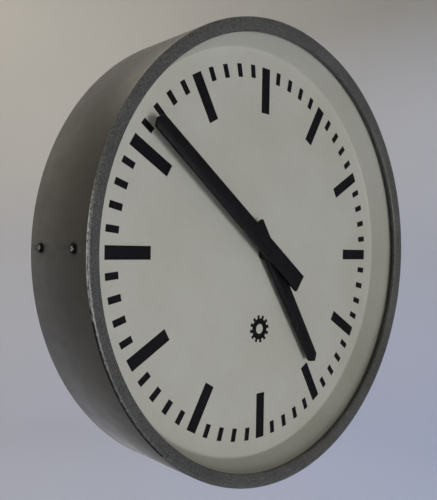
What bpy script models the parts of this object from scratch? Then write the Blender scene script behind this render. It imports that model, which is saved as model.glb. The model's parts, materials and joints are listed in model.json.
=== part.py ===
"""Impulse-driven secondary wall clock: drum case, glazed front ring, dial, hands and stepping movement.

Frame: origin at the centre of the back face, +Z up to 12 o'clock, +X to 3 o'clock, the dial faces -Y.
"depth" is a distance in front of the wall, so a point at depth d lies at y = -d.
"""

import math

import bmesh
import bpy
from mathutils import Vector

MM = 0.001

# Fits
FIT = 0.3 * MM  # gap between two faces that touch
SHAFT_FIT = 0.15 * MM  # radial gap between a shaft and the hole it sits or turns in
ROUND_STEPS = 64  # sides of the large rings, a multiple of 4
SMALL_STEPS = 16  # sides of shafts, screws and their holes
TINY_STEPS = 12  # sides of the smallest screws, rivets and their holes

# Case
CASE_RADIUS = 210.0 * MM
CASE_DEPTH = 82.5 * MM  # wall to the front ring's outer corner
SHEET = 1.2 * MM  # drum, front ring and back pan
RING_WIDTH = 11.6 * MM  # radial width of the front ring's face
RING_FALL = 2.7 * MM  # the face leans in: its inner edge lies this much lower
RING_EDGE = 1.4 * MM  # height of the ring's outer edge
RING_ROUND = 1.0 * MM  # radius of the ring's outer corner, drawn as a chamfer
RING_LIP = 2.5 * MM  # height of the turned-in lip round the glass
RING_LIP_FLARE = 1.3 * MM  # the lip opens outwards towards the glass
SPIGOT_HEIGHT = 8.0 * MM  # skirt of the ring that locates inside the drum
PAN_SHEET = 1.5 * MM
PAN_FLANGE = 24.0 * MM  # least height of the back pan's rim, which reaches up to the rail's feet

# Glazing and dial
GASKET_HEIGHT = 1.0 * MM
GASKET_WIDTH = 4.0 * MM
GLASS_THICKNESS = 3.0 * MM
GLASS_REACH = 5.8 * MM  # glass radius beyond the ring's inner edge
DIAL_SHEET = 0.8 * MM
DIAL_WELL = 20.4 * MM  # height of the dial's steep rim
DIAL_FLAT_INSET = 6.4 * MM  # flat face's radius is this much less than the ring's opening
DIAL_RIM_TOP_OFFSET = 2.1 * MM  # top of the steep rim, beyond the ring's opening
DIAL_FLANGE_OFFSET = 6.6 * MM  # outer edge of the flange, beyond the ring's opening
CLIP_WIDTH = 16.0 * MM
CLIP_SHEET = 1.0 * MM
CLIP_HEADROOM = 1.5 * MM  # space between a clip's top and the ring's underside
CLIP_COUNT = 4

# Side screws, on a line a little above the centre
SCREW_LINE_HEIGHT = 2.7 * MM
REAR_SCREW_DEPTH = 17.0 * MM
FRONT_SCREW_ABOVE_DIAL = 13.0 * MM
SIDE_SHANK_RADIUS = 1.9 * MM
SIDE_SHANK_LENGTH = 9.0 * MM
SIDE_HEAD_RADIUS = 3.8 * MM
SIDE_HEAD_HEIGHT = 1.5 * MM
NUT_WIDTH = 7.0 * MM
NUT_THICKNESS = 3.0 * MM
SIDE_SLOT_TURN = {"rear_left": 25, "front_left": 80, "rear_right": 60, "front_right": 10}  # degrees

# Back fittings
KEYHOLE_HEIGHT = 150.0 * MM  # centre of the keyhole's round part above the axis
KEYHOLE_RADIUS = 6.0 * MM
KEYHOLE_SLOT = 3.0 * MM  # half-width of its slot
KEYHOLE_RISE = 13.0 * MM  # slot end above the round part's centre
KEYHOLE_STEPS = 14  # sides of the round part; the slot's end has half as many and one
HANGER_HALF = (26.0 * MM, 20.0 * MM)
HANGER_SHEET = 2.0 * MM
RIVET_OFFSET = 18.0 * MM
RIVET_RADIUS = 1.3 * MM
CABLE_HEIGHT = -70.0 * MM
CABLE_HOLE_RADIUS = 8.0 * MM
CABLE_RADIUS = 5.0 * MM
GROMMET_COLLAR = 2.5 * MM  # the grommet's collar reaches this far over the pan
GROMMET_THICKNESS = 1.7 * MM
GROMMET_NOSE = 1.0 * MM  # its mouth stands this far above the collar
TERMINAL_HEIGHT = -104.0 * MM
TERMINAL_HALF = (22.0 * MM, 10.0 * MM)
TERMINAL_THICKNESS = 12.0 * MM
TERMINAL_PITCH = 22.0 * MM
TERMINAL_HEAD_RADIUS = 3.2 * MM
TERMINAL_HEAD_HEIGHT = 2.0 * MM
TERMINAL_SHANK_LENGTH = 6.0 * MM

# Cross rail that carries the movement
RAIL_SHEET = 2.0 * MM
RAIL_HALF_WIDTH = 15.0 * MM
RAIL_JOG = 8.0 * MM  # the rail rises over the pan's flange this far inside it
RAIL_JOG_CLEARANCE = 2.0 * MM

# Movement frame
PLATE_SHEET = 1.5 * MM
PLATE_HALF_WIDTH = 39.0 * MM
PLATE_LOW = -17.0 * MM
PLATE_HIGH = 54.0 * MM
PLATE_GAP = 16.0 * MM  # clear space between the two plates
MOTION_SPACE = 11.2 * MM  # front plate to the back of the dial
PILLAR_RADIUS = 2.5 * MM
PILLAR_X = 34.0 * MM
PILLAR_Z = (-11.0 * MM, 48.0 * MM)
RAIL_SCREW_X = 24.0 * MM
SMALL_SHANK_RADIUS = 1.2 * MM
SMALL_HEAD_RADIUS = 2.6 * MM
SMALL_HEAD_HEIGHT = 1.4 * MM
SMALL_SHANK_LENGTH = 5.0 * MM
PILLAR_BORE_DEPTH = 6.0 * MM

# Teeth
TRAIN_MODULE = 0.6 * MM
CENTRE_TEETH = 60
TRAIN_PINION_TEETH = 10
INTERMEDIATE_TEETH = 50
CANNON_TEETH = 12
MINUTE_WHEEL_TEETH = 36
MINUTE_PINION_TEETH = 10
HOUR_WHEEL_TEETH = 40
PRESSURE_ANGLE = math.radians(20.0)
TOOTH_SHARE = 0.85  # tooth thickness as a share of half the pitch: the rest is backlash
ADDENDUM = 0.9
DEDENDUM = 1.2
WHEEL_SHEET = 1.6 * MM
WHEEL_RIM = 2.4 * MM  # from the pitch circle in to the windows
WHEEL_HUB = 4.0 * MM
CENTRE_HUB = 5.0 * MM
SPOKES = 5
SPOKE_HALF_ANGLE = math.radians(10.0)
MOST_PINION_TEETH = 12

# Shafts
CENTRE_ARBOR_RADIUS = 1.75 * MM
CANNON_PIPE_RADIUS = 2.6 * MM
HOUR_PIPE_RADIUS = 4.2 * MM
THIN_ARBOR_RADIUS = 1.3 * MM
PIVOT_PROUD = 0.5 * MM  # arbors end this far in front of the front plate
STUD_HEAD = 0.8 * MM  # overhang and thickness of the stud's head
DIAL_HOLE_RADIUS = 5.5 * MM

# Levels: space left between one turning piece and the next
# Plays between wheels are as written at these spaces, and share what room there is in proportion
ROTOR_PLAY = 1.2 * MM
WHEEL_PLAY = 1.0 * MM
HUB_PLAY = 1.2 * MM
FRONT_PLAY = 2.4 * MM  # centre wheel to the front plate
STUD_PLAY = 1.8 * MM  # stud's head to the back of the dial
CANNON_PLAY = 0.2 * MM
CANNON_LEAVES = 3.6 * MM  # height of the cannon pinion's toothed part and what is under it
MOTION_PLAY = 0.8 * MM
PINION_LAP = 0.5 * MM  # a pinion stands this much higher than the wheel it drives or is driven by

# Electromagnet and rotor
ROTOR_RADIUS = 8.0 * MM
ROTOR_HEIGHT = 7.0 * MM
POLE_GAP = 1.0 * MM
POLE_HALF = 6.0 * MM
LIMB_WIDTH = 10.0 * MM
CORE_HALF = 4.0 * MM
COIL_HEIGHT = -32.0 * MM
COIL_RADIUS = 11.0 * MM
COIL_CHEEK = 1.5 * MM
BOBBIN_WALL = 1.0 * MM
WINDING_INSET = 0.6 * MM  # the winding stays this far inside the cheeks
WIRE_RADIUS = 0.8 * MM
LEAD_START_X = 16.0 * MM
LEAD_DROP = 18.0 * MM  # how far a lead runs straight before it bends
LEAD_STEPS = 16

# Hands
HAND_SHEET = 0.8 * MM
HOUR_HAND_ABOVE_DIAL = 10.3 * MM
MINUTE_HAND_ABOVE_HOUR_HAND = 5.2 * MM  # face to face
MINUTE_HAND_ABOVE_DIAL = HOUR_HAND_ABOVE_DIAL + MINUTE_HAND_ABOVE_HOUR_HAND
MINUTE_HAND_FOLD = 3.2 * MM
HOUR_HAND_FOLD = 4.0 * MM
MINUTE_HAND_LENGTH = 172.0 * MM
MINUTE_HAND_TAIL = 49.0 * MM
MINUTE_HAND_POINT = 3.0 * MM
MINUTE_TIP_HALF = 6.5 * MM
MINUTE_TAIL_HALF = 9.1 * MM
HOUR_HAND_LENGTH = 127.5 * MM
HOUR_HAND_TAIL = 33.5 * MM
HOUR_HAND_POINT = 5.0 * MM
HOUR_TIP_HALF = 6.1 * MM
HOUR_TAIL_HALF = 8.2 * MM
MINUTE_HAND_ANGLE = math.radians(306.9)  # clockwise from 12 o'clock
HOUR_HAND_ANGLE = math.radians(146.7)
MINUTE_NAIL_RADIUS = 0.8 * MM  # hole in the minute hand over the arbor's end
MINUTE_BUSH_RADIUS = 6.0 * MM
HOUR_BUSH_RADIUS = 5.8 * MM
HOUR_BUSH_LENGTH = 3.6 * MM
HAND_SPACE = 0.7 * MM  # minute hand's bush over the hour hand

# Values that follow from the sizes above
DRUM_INNER = CASE_RADIUS - SHEET
SPIGOT_OUTER = DRUM_INNER - FIT
SPIGOT_INNER = SPIGOT_OUTER - SHEET
OPENING = CASE_RADIUS - RING_WIDTH
SEAM_DEPTH = CASE_DEPTH - RING_EDGE  # underside of the ring's outer edge
LIP_TOP = CASE_DEPTH - RING_FALL
LIP_END = LIP_TOP - RING_LIP
GASKET_TOP = LIP_END - FIT
GLASS_TOP = GASKET_TOP - GASKET_HEIGHT - FIT
GLASS_RADIUS = OPENING + GLASS_REACH
FLANGE_TOP = GLASS_TOP - GLASS_THICKNESS - FIT
DIAL_DEPTH = FLANGE_TOP - DIAL_WELL
DIAL_BACK = DIAL_DEPTH - DIAL_SHEET
FRONT_SCREW_DEPTH = DIAL_DEPTH + FRONT_SCREW_ABOVE_DIAL
FRONT_PLATE_TOP = DIAL_BACK - MOTION_SPACE
FRONT_PLATE_BACK = FRONT_PLATE_TOP - PLATE_SHEET
REAR_PLATE_TOP = FRONT_PLATE_BACK - PLATE_GAP
REAR_PLATE_BACK = REAR_PLATE_TOP - PLATE_SHEET
RAIL_TOP = REAR_PLATE_BACK - FIT
RAIL_BACK = RAIL_TOP - RAIL_SHEET
RAIL_STEP = max(PAN_FLANGE + FIT, RAIL_BACK + RAIL_JOG_CLEARANCE)
PAN_RIM = RAIL_STEP - FIT
MINUTE_FACE = DIAL_DEPTH + MINUTE_HAND_ABOVE_DIAL
HOUR_FACE = DIAL_DEPTH + HOUR_HAND_ABOVE_DIAL
INTERMEDIATE_Z = TRAIN_MODULE * (CENTRE_TEETH + TRAIN_PINION_TEETH) / 2
ROTOR_Z = INTERMEDIATE_Z + TRAIN_MODULE * (INTERMEDIATE_TEETH + TRAIN_PINION_TEETH) / 2
MOTION_X = TRAIN_MODULE * (CANNON_TEETH + MINUTE_WHEEL_TEETH) / 2
MOTION_MODULE = 2 * MOTION_X / (MINUTE_PINION_TEETH + HOUR_WHEEL_TEETH)
TRAIN_ROOM = PLATE_GAP - ROTOR_HEIGHT - 2 * WHEEL_SHEET
TRAIN_SHARE = TRAIN_ROOM / (ROTOR_PLAY + WHEEL_PLAY + HUB_PLAY + FRONT_PLAY)
MOTION_ROOM = MOTION_SPACE - CANNON_LEAVES - WHEEL_SHEET - STUD_HEAD
MOTION_SHARE = MOTION_ROOM / (WHEEL_PLAY + 2 * HUB_PLAY + STUD_PLAY)
ROTOR_BACK = REAR_PLATE_TOP + ROTOR_PLAY * TRAIN_SHARE
CORE_DEPTH = ROTOR_BACK + ROTOR_HEIGHT / 2
LIMB_INNER = PILLAR_X - LIMB_WIDTH / 2
BOBBIN_BORE = math.hypot(CORE_HALF, ROTOR_HEIGHT / 2) + FIT


# Small tools -----------------------------------------------------------------


def clear_scene():
    for thing in list(bpy.data.objects):
        bpy.data.objects.remove(thing, do_unlink=True)


def linear(hex_colour):
    """The linear red, green, blue and alpha of an sRGB hex colour."""
    channels = [int(hex_colour[i : i + 2], 16) / 255 for i in (0, 2, 4)]
    straight = [c / 12.92 if c <= 0.04045 else ((c + 0.055) / 1.055) ** 2.4 for c in channels]
    return (*straight, 1.0)


def finish(name, hex_colour, roughness, metallic, alpha=1.0):
    material = bpy.data.materials.new(name)
    material.use_nodes = True
    shader = material.node_tree.nodes["Principled BSDF"]
    shader.inputs["Base Color"].default_value = linear(hex_colour)
    shader.inputs["Roughness"].default_value = roughness
    shader.inputs["Metallic"].default_value = metallic
    shader.inputs["Alpha"].default_value = alpha
    return material


def flat_of(radius):
    """Distance from the axis to the middle of a side of a large ring of this radius."""
    return radius * math.cos(math.pi / ROUND_STEPS)


def mesh_of(shape, name):
    bmesh.ops.recalc_face_normals(shape, faces=shape.faces)
    mesh = bpy.data.meshes.new(name)
    shape.to_mesh(mesh)
    shape.free()
    mesh.shade_smooth()
    mesh.set_sharp_from_angle(angle=math.radians(35))
    return mesh


def add_loop(shape, points, depth):
    """A closed loop of vertices at (x, z) points, joined by edges."""
    verts = [shape.verts.new((x, -depth, z)) for x, z in points]
    for here, there in zip(verts, verts[1:] + verts[:1]):
        shape.edges.new((here, there))
    return verts


def add_wall(shape, first, second):
    count = len(first)
    for i in range(count):
        j = (i + 1) % count
        shape.faces.new((first[i], first[j], second[j], second[i]))


def fill_between(shape, loops):
    edges = [
        shape.edges.get((loop[i], loop[(i + 1) % len(loop)])) for loop in loops for i in range(len(loop))
    ]
    bmesh.ops.triangle_fill(shape, edges=edges, use_beauty=True)


def circle(radius, x=0.0, z=0.0, steps=SMALL_STEPS):
    turns = [2 * math.pi * i / steps for i in range(steps)]
    return [(x + radius * math.cos(a), z + radius * math.sin(a)) for a in turns]


def rectangle(low_x, high_x, low_z, high_z):
    return [(low_x, low_z), (high_x, low_z), (high_x, high_z), (low_x, high_z)]


def plate(name, outline, holes, back, front):
    """A flat plate between two depths, with holes straight through it."""
    shape = bmesh.new()
    backs = [add_loop(shape, points, back) for points in [outline, *holes]]
    fronts = [add_loop(shape, points, front) for points in [outline, *holes]]
    for near, far in zip(backs, fronts):
        add_wall(shape, near, far)
    fill_between(shape, backs)
    fill_between(shape, fronts)
    return mesh_of(shape, name)


def tray(name, outline, inner, holes, face, rim, floor):
    """A flat face with a wall along its outline up to the rim, hollow to the floor, with holes through."""
    shape = bmesh.new()
    faces = [add_loop(shape, points, face) for points in [outline, *holes]]
    floors = [add_loop(shape, points, floor) for points in [inner, *holes]]
    outer_rim = add_loop(shape, outline, rim)
    inner_rim = add_loop(shape, inner, rim)
    add_wall(shape, faces[0], outer_rim)
    add_wall(shape, outer_rim, inner_rim)
    add_wall(shape, inner_rim, floors[0])
    for near, far in zip(faces[1:], floors[1:]):
        add_wall(shape, near, far)
    fill_between(shape, faces)
    fill_between(shape, floors)
    return mesh_of(shape, name)


def turned(name, profile, steps=SMALL_STEPS):
    """A shape turned about the depth axis; (radius, depth) points, open where both ends lie on the axis."""
    shape = bmesh.new()
    verts = [shape.verts.new((radius, -depth, 0.0)) for radius, depth in profile]
    pairs = list(zip(verts, verts[1:]))
    if profile[0][0] > 0:
        pairs.append((verts[-1], verts[0]))
    edges = [shape.edges.new(pair) for pair in pairs]
    bmesh.ops.spin(
        shape,
        geom=verts + edges,
        axis=(0.0, 1.0, 0.0),
        cent=(0.0, 0.0, 0.0),
        angle=2 * math.pi,
        steps=steps,
        use_merge=True,
    )
    bmesh.ops.remove_doubles(shape, verts=shape.verts, dist=1e-7)
    return mesh_of(shape, name)


def rod(name, radius, back, front, steps=SMALL_STEPS):
    return turned(name, [(0.0, back), (radius, back), (radius, front), (0.0, front)], steps)


def tube(name, inner, outer, back, front, steps=SMALL_STEPS):
    return turned(name, [(inner, back), (outer, back), (outer, front), (inner, front)], steps)


def place(name, mesh, material, x=0.0, z=0.0, depth=0.0, parent=None, turn=0.0, side=0.0):
    """Puts a mesh at (x, z), depth; turn is clockwise seen from the front, side swings it to face +-X."""
    thing = bpy.data.objects.new(name, mesh)
    bpy.context.scene.collection.objects.link(thing)
    if material and not mesh.materials:
        mesh.materials.append(material)
    thing.location = (x, -depth, z)
    thing.rotation_euler = (0.0, turn, side)
    if parent:
        thing.location = Vector(thing.location) - parent.location
        thing.parent = parent
    return thing


def axis_at(name, x=0.0, z=0.0):
    """An empty on a joint's axis, which carries the pieces that turn together."""
    empty = bpy.data.objects.new(name, None)
    empty.empty_display_size = ROTOR_RADIUS
    bpy.context.scene.collection.objects.link(empty)
    empty.location = (x, 0.0, z)
    return empty


def helper(name, mesh, **where):
    """A cutter or a shape to be joined: it guides a Boolean and isn't a piece itself."""
    thing = place(name, mesh, None, **where)
    thing.hide_render = True
    thing.display_type = "WIRE"
    return thing


def combine(thing, tool, operation):
    boolean = thing.modifiers.new(tool.name, "BOOLEAN")
    boolean.operation = operation
    boolean.object = tool
    boolean.solver = "EXACT"


# Teeth -----------------------------------------------------------------------


def involute(angle):
    return math.tan(angle) - angle


def gear_outline(teeth, module, phase):
    """(x, z) points of a toothed edge; phase is the angle of one tooth's middle from +X.

    Flanks follow the involute: a pinion's through a third point at the pitch circle, a wheel's straight.
    """
    pitch = module * teeth / 2
    base = pitch * math.cos(PRESSURE_ANGLE)
    tip = pitch + ADDENDUM * module
    root = pitch - DEDENDUM * module
    pitch_half = TOOTH_SHARE * math.pi / (2 * teeth)

    def half_angle(radius):
        if radius <= base:
            return pitch_half + involute(PRESSURE_ANGLE)
        return pitch_half + involute(PRESSURE_ANGLE) - involute(math.acos(base / radius))

    radii = (root, pitch, tip) if teeth <= MOST_PINION_TEETH else (root, tip)
    rising = [(radius, half_angle(radius)) for radius in radii]
    points = []
    for tooth in range(teeth):
        middle = phase + 2 * math.pi * tooth / teeth
        flank = [(radius, middle - half) for radius, half in rising]
        flank += [(radius, middle + half) for radius, half in reversed(rising)]
        points += [(radius * math.cos(a), radius * math.sin(a)) for radius, a in flank]
    return points


def wheel_windows(hub, rim, steps=3):
    """The windows between a wheel's spokes, from its hub to its rim."""
    windows = []
    for i in range(SPOKES):
        start = 2 * math.pi * i / SPOKES + SPOKE_HALF_ANGLE
        sweep = 2 * math.pi / SPOKES - 2 * SPOKE_HALF_ANGLE
        turns = [start + sweep * k / steps for k in range(steps + 1)]
        outer = [(rim * math.cos(a), rim * math.sin(a)) for a in turns]
        inner = [(hub * math.cos(a), hub * math.sin(a)) for a in (turns[-1], turns[0])]
        windows.append(outer + inner)
    return windows


# Screws ----------------------------------------------------------------------


def slotted_screw(name, head_radius, head_height, shank_radius, shank_length, steps=TINY_STEPS):
    """A cheese-head screw: its head's underside is at depth 0 and the shank runs back from it."""
    chamfer = head_height * 0.35
    profile = [
        (0.0, -shank_length),
        (shank_radius, -shank_length),
        (shank_radius, 0.0),
        (head_radius, 0.0),
        (head_radius, head_height - chamfer),
        (head_radius - chamfer, head_height),
        (0.0, head_height),
    ]
    body = place(name + "_blank", turned(name + "_blank", profile, steps), None)
    slot_half = head_radius * 0.16
    reach = head_radius * 1.5
    slot = helper(
        name + "_slot",
        plate(
            name + "_slot",
            rectangle(-reach, reach, -slot_half, slot_half),
            [],
            head_height * 0.45,
            head_height * 1.5,
        ),
    )
    combine(body, slot, "DIFFERENCE")
    graph = bpy.context.evaluated_depsgraph_get()
    mesh = bpy.data.meshes.new_from_object(body.evaluated_get(graph))
    mesh.name = name
    bpy.data.objects.remove(body, do_unlink=True)
    bpy.data.objects.remove(slot, do_unlink=True)
    return mesh


# Case ------------------------------------------------------------------------


def side_bore(depth):
    """A rod right across the clock that cuts both side screws' holes at one depth."""
    reach = CASE_RADIUS * 1.1
    name = f"side_bore_{depth / MM:.0f}"
    return helper(
        name,
        rod(name, SIDE_SHANK_RADIUS + FIT, -reach, reach),
        z=SCREW_LINE_HEIGHT,
        depth=depth,
        side=math.pi / 2,
    )


def build_drum(material, bores):
    drum = place(
        "case_drum",
        tube("case_drum", DRUM_INNER, CASE_RADIUS, 0.0, SEAM_DEPTH - FIT, ROUND_STEPS),
        material,
    )
    for bore in bores:
        combine(drum, bore, "DIFFERENCE")


def build_ring(material):
    """U-shaped sheet ring: sloping face, turned-in lip round the glass, and a spigot inside the drum."""
    profile = [
        (CASE_RADIUS, SEAM_DEPTH),
        (CASE_RADIUS, CASE_DEPTH - RING_ROUND),
        (CASE_RADIUS - RING_ROUND, CASE_DEPTH),
        (OPENING, LIP_TOP),
        (OPENING + RING_LIP_FLARE, LIP_END),
        (OPENING + RING_LIP_FLARE + SHEET, LIP_END),
        (OPENING + SHEET, LIP_TOP - SHEET),
        (SPIGOT_INNER, SEAM_DEPTH - SHEET),
        (SPIGOT_INNER, SEAM_DEPTH - SPIGOT_HEIGHT),
        (SPIGOT_OUTER, SEAM_DEPTH - SPIGOT_HEIGHT),
        (SPIGOT_OUTER, SEAM_DEPTH),
    ]
    place("front_ring", turned("front_ring", profile, ROUND_STEPS), material)


def build_glazing(glass, rubber):
    inner = OPENING + RING_LIP_FLARE
    gasket = tube(
        "glass_gasket", inner, inner + GASKET_WIDTH, GASKET_TOP - GASKET_HEIGHT, GASKET_TOP, ROUND_STEPS
    )
    place("glass_gasket", gasket, rubber)
    pane = rod("glass", GLASS_RADIUS, GLASS_TOP - GLASS_THICKNESS, GLASS_TOP, ROUND_STEPS)
    place("glass", pane, glass)


def build_dial(material):
    """Flat face, steep rim and a flange that lies under the glass, with a hole for the hand pipes."""
    flat = OPENING - DIAL_FLAT_INSET
    top = OPENING + DIAL_RIM_TOP_OFFSET
    edge = OPENING + DIAL_FLANGE_OFFSET
    profile = [
        (DIAL_HOLE_RADIUS, DIAL_BACK),
        (flat + DIAL_SHEET, DIAL_BACK),
        (top + DIAL_SHEET, FLANGE_TOP - DIAL_SHEET),
        (edge, FLANGE_TOP - DIAL_SHEET),
        (edge, FLANGE_TOP),
        (top, FLANGE_TOP),
        (flat, DIAL_DEPTH),
        (DIAL_HOLE_RADIUS, DIAL_DEPTH),
    ]
    place("dial", turned("dial", profile, ROUND_STEPS), material)


def build_clips(material):
    """Lugs on the ring's spigot, bent in under the dial's flange once the glass and the dial are in."""
    leg = math.sqrt(flat_of(SPIGOT_INNER) ** 2 - (CLIP_WIDTH / 2) ** 2) - FIT
    foot = FLANGE_TOP - DIAL_SHEET - FIT
    toe = OPENING + DIAL_RIM_TOP_OFFSET + 2 * DIAL_SHEET + FIT
    high = SEAM_DEPTH - SHEET - CLIP_HEADROOM
    section = [
        (toe, foot - CLIP_SHEET),
        (leg, foot - CLIP_SHEET),
        (leg, high),
        (leg - CLIP_SHEET, high),
        (leg - CLIP_SHEET, foot),
        (toe, foot),
    ]
    shape = bmesh.new()
    loops = []
    for across in (-CLIP_WIDTH / 2, CLIP_WIDTH / 2):
        loops.append([shape.verts.new((radius, -depth, across)) for radius, depth in section])
    add_wall(shape, *loops)
    for loop in loops:
        shape.faces.new(loop)
    mesh = mesh_of(shape, "glass_clip")
    for i in range(CLIP_COUNT):
        turn = 2 * math.pi * (i + 0.5) / CLIP_COUNT
        place(f"glass_clip_{i + 1}", mesh, material, turn=turn)


def keyhole(radius, slot, rise):
    """Outline of a keyhole: a round part with a slot above it that ends in a half circle."""
    start = math.acos(slot / radius)
    sweep = math.pi + 2 * start
    end_steps = KEYHOLE_STEPS // 2 + 1
    lower = [math.pi - start + sweep * k / KEYHOLE_STEPS for k in range(KEYHOLE_STEPS + 1)]
    points = [(radius * math.cos(a), radius * math.sin(a)) for a in lower]
    upper = [math.pi * k / end_steps for k in range(end_steps + 1)]
    points += [(slot * math.cos(a), rise + slot * math.sin(a)) for a in upper]
    return [(x, z + KEYHOLE_HEIGHT) for x, z in points]


def build_back(pan_material, steel, rubber, bore):
    hole = keyhole(KEYHOLE_RADIUS, KEYHOLE_SLOT, KEYHOLE_RISE)
    middle = KEYHOLE_HEIGHT + KEYHOLE_RISE / 2
    rivet_holes = [
        circle(RIVET_RADIUS + SHAFT_FIT, side * RIVET_OFFSET, middle, TINY_STEPS) for side in (-1, 1)
    ]
    cable_hole = circle(CABLE_HOLE_RADIUS, 0.0, CABLE_HEIGHT)
    outside = circle(SPIGOT_OUTER, steps=ROUND_STEPS)
    inside = circle(SPIGOT_INNER, steps=ROUND_STEPS)
    holes = [hole, cable_hole, *rivet_holes]
    shell = tray("back_pan", outside, inside, holes, 0.0, PAN_RIM, PAN_SHEET)
    pan = place("back_pan", shell, pan_material)
    combine(pan, bore, "DIFFERENCE")

    hanger_back = PAN_SHEET + FIT
    hanger_top = hanger_back + HANGER_SHEET
    wide, tall = HANGER_HALF
    outline = rectangle(-wide, wide, middle - tall, middle + tall)
    hanger = plate("hanger_plate", outline, [hole, *rivet_holes], hanger_back, hanger_top)
    place("hanger_plate", hanger, steel)
    head = 2 * RIVET_RADIUS
    rivet = turned(
        "hanger_rivet",
        [
            (0.0, FIT),
            (RIVET_RADIUS, FIT),
            (RIVET_RADIUS, hanger_top + FIT),
            (head, hanger_top + FIT),
            (head * 0.7, hanger_top + FIT + RIVET_RADIUS),
            (0.0, hanger_top + FIT + RIVET_RADIUS * 1.2),
        ],
        TINY_STEPS,
    )
    for side, word in ((-1, "left"), (1, "right")):
        place(f"hanger_rivet_{word}", rivet, steel, x=side * RIVET_OFFSET, z=middle)

    neck = CABLE_HOLE_RADIUS - FIT
    seat = PAN_SHEET + FIT
    collar = [
        (CABLE_RADIUS, FIT),
        (neck, FIT),
        (neck, seat),
        (neck + GROMMET_COLLAR, seat),
        (neck + GROMMET_COLLAR, seat + GROMMET_THICKNESS),
        (CABLE_RADIUS, seat + GROMMET_THICKNESS + GROMMET_NOSE),
    ]
    place("cable_grommet", turned("cable_grommet", collar), rubber, z=CABLE_HEIGHT)


def build_side_fastenings(steel):
    """The four screws on the drum's sides, each with the square nut that it pulls against inside."""
    screw = slotted_screw(
        "side_screw",
        SIDE_HEAD_RADIUS,
        SIDE_HEAD_HEIGHT,
        SIDE_SHANK_RADIUS,
        SIDE_SHANK_LENGTH,
        SMALL_STEPS,
    )
    half = NUT_WIDTH / 2
    hole = circle(SIDE_SHANK_RADIUS + SHAFT_FIT)
    nut = plate("side_nut", rectangle(-half, half, -half, half), [hole], -NUT_THICKNESS, 0.0)
    rear_seat = flat_of(SPIGOT_INNER) - FIT
    front_seat = rail_lug() - RAIL_SHEET - FIT
    rows = (("rear", REAR_SCREW_DEPTH, rear_seat), ("front", FRONT_SCREW_DEPTH, front_seat))
    for row, depth, seat in rows:
        for sign, word in ((-1, "left"), (1, "right")):
            side = sign * math.pi / 2
            place(
                f"side_screw_{row}_{word}",
                screw,
                steel,
                x=sign * (CASE_RADIUS + FIT),
                z=SCREW_LINE_HEIGHT,
                depth=depth,
                side=side,
                turn=math.radians(SIDE_SLOT_TURN[f"{row}_{word}"]),
            )
            place(
                f"side_nut_{row}_{word}",
                nut,
                steel,
                x=sign * seat,
                z=SCREW_LINE_HEIGHT,
                depth=depth,
                side=side,
            )


# Rail and movement frame -------------------------------------------------------


def rail_lug():
    """Distance from the axis to the outer face of the rail's end lugs, just inside the drum."""
    return math.sqrt(flat_of(DRUM_INNER) ** 2 - RAIL_HALF_WIDTH**2) - FIT


def build_rail(steel, bore, screw):
    """A flat strip across the case. Each end steps over the pan's rim and turns forward along the drum."""
    lug = rail_lug()
    leg = SPIGOT_INNER - RAIL_JOG
    step = RAIL_STEP
    lug_top = SEAM_DEPTH - SPIGOT_HEIGHT - 2 * FIT
    right = [
        (leg, RAIL_BACK),
        (leg, step),
        (lug, step),
        (lug, lug_top),
        (lug - RAIL_SHEET, lug_top),
        (lug - RAIL_SHEET, step + RAIL_SHEET),
        (leg - RAIL_SHEET, step + RAIL_SHEET),
        (leg - RAIL_SHEET, RAIL_TOP),
    ]
    section = right + [(-x, depth) for x, depth in reversed(right)]
    shape = bmesh.new()
    loops = []
    for height in (-RAIL_HALF_WIDTH, RAIL_HALF_WIDTH):
        loops.append([shape.verts.new((x, -depth, height)) for x, depth in section])
    add_wall(shape, *loops)
    for loop in loops:
        shape.faces.new(loop)
    rail = place("cross_rail", mesh_of(shape, "cross_rail"), steel)
    combine(rail, bore, "DIFFERENCE")
    for sign, word in ((-1, "left"), (1, "right")):
        name = f"rail_cutter_{word}"
        cutter = rod(name, SMALL_SHANK_RADIUS + SHAFT_FIT, RAIL_BACK - RAIL_SHEET, RAIL_TOP + RAIL_SHEET)
        combine(rail, helper(name, cutter, x=sign * RAIL_SCREW_X), "DIFFERENCE")
        place(
            f"movement_screw_{word}",
            screw,
            steel,
            x=sign * RAIL_SCREW_X,
            depth=RAIL_BACK - FIT,
            side=math.pi,
        )


def corner_points():
    return [(sign * PILLAR_X, z) for z in PILLAR_Z for sign in (-1, 1)]


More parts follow.
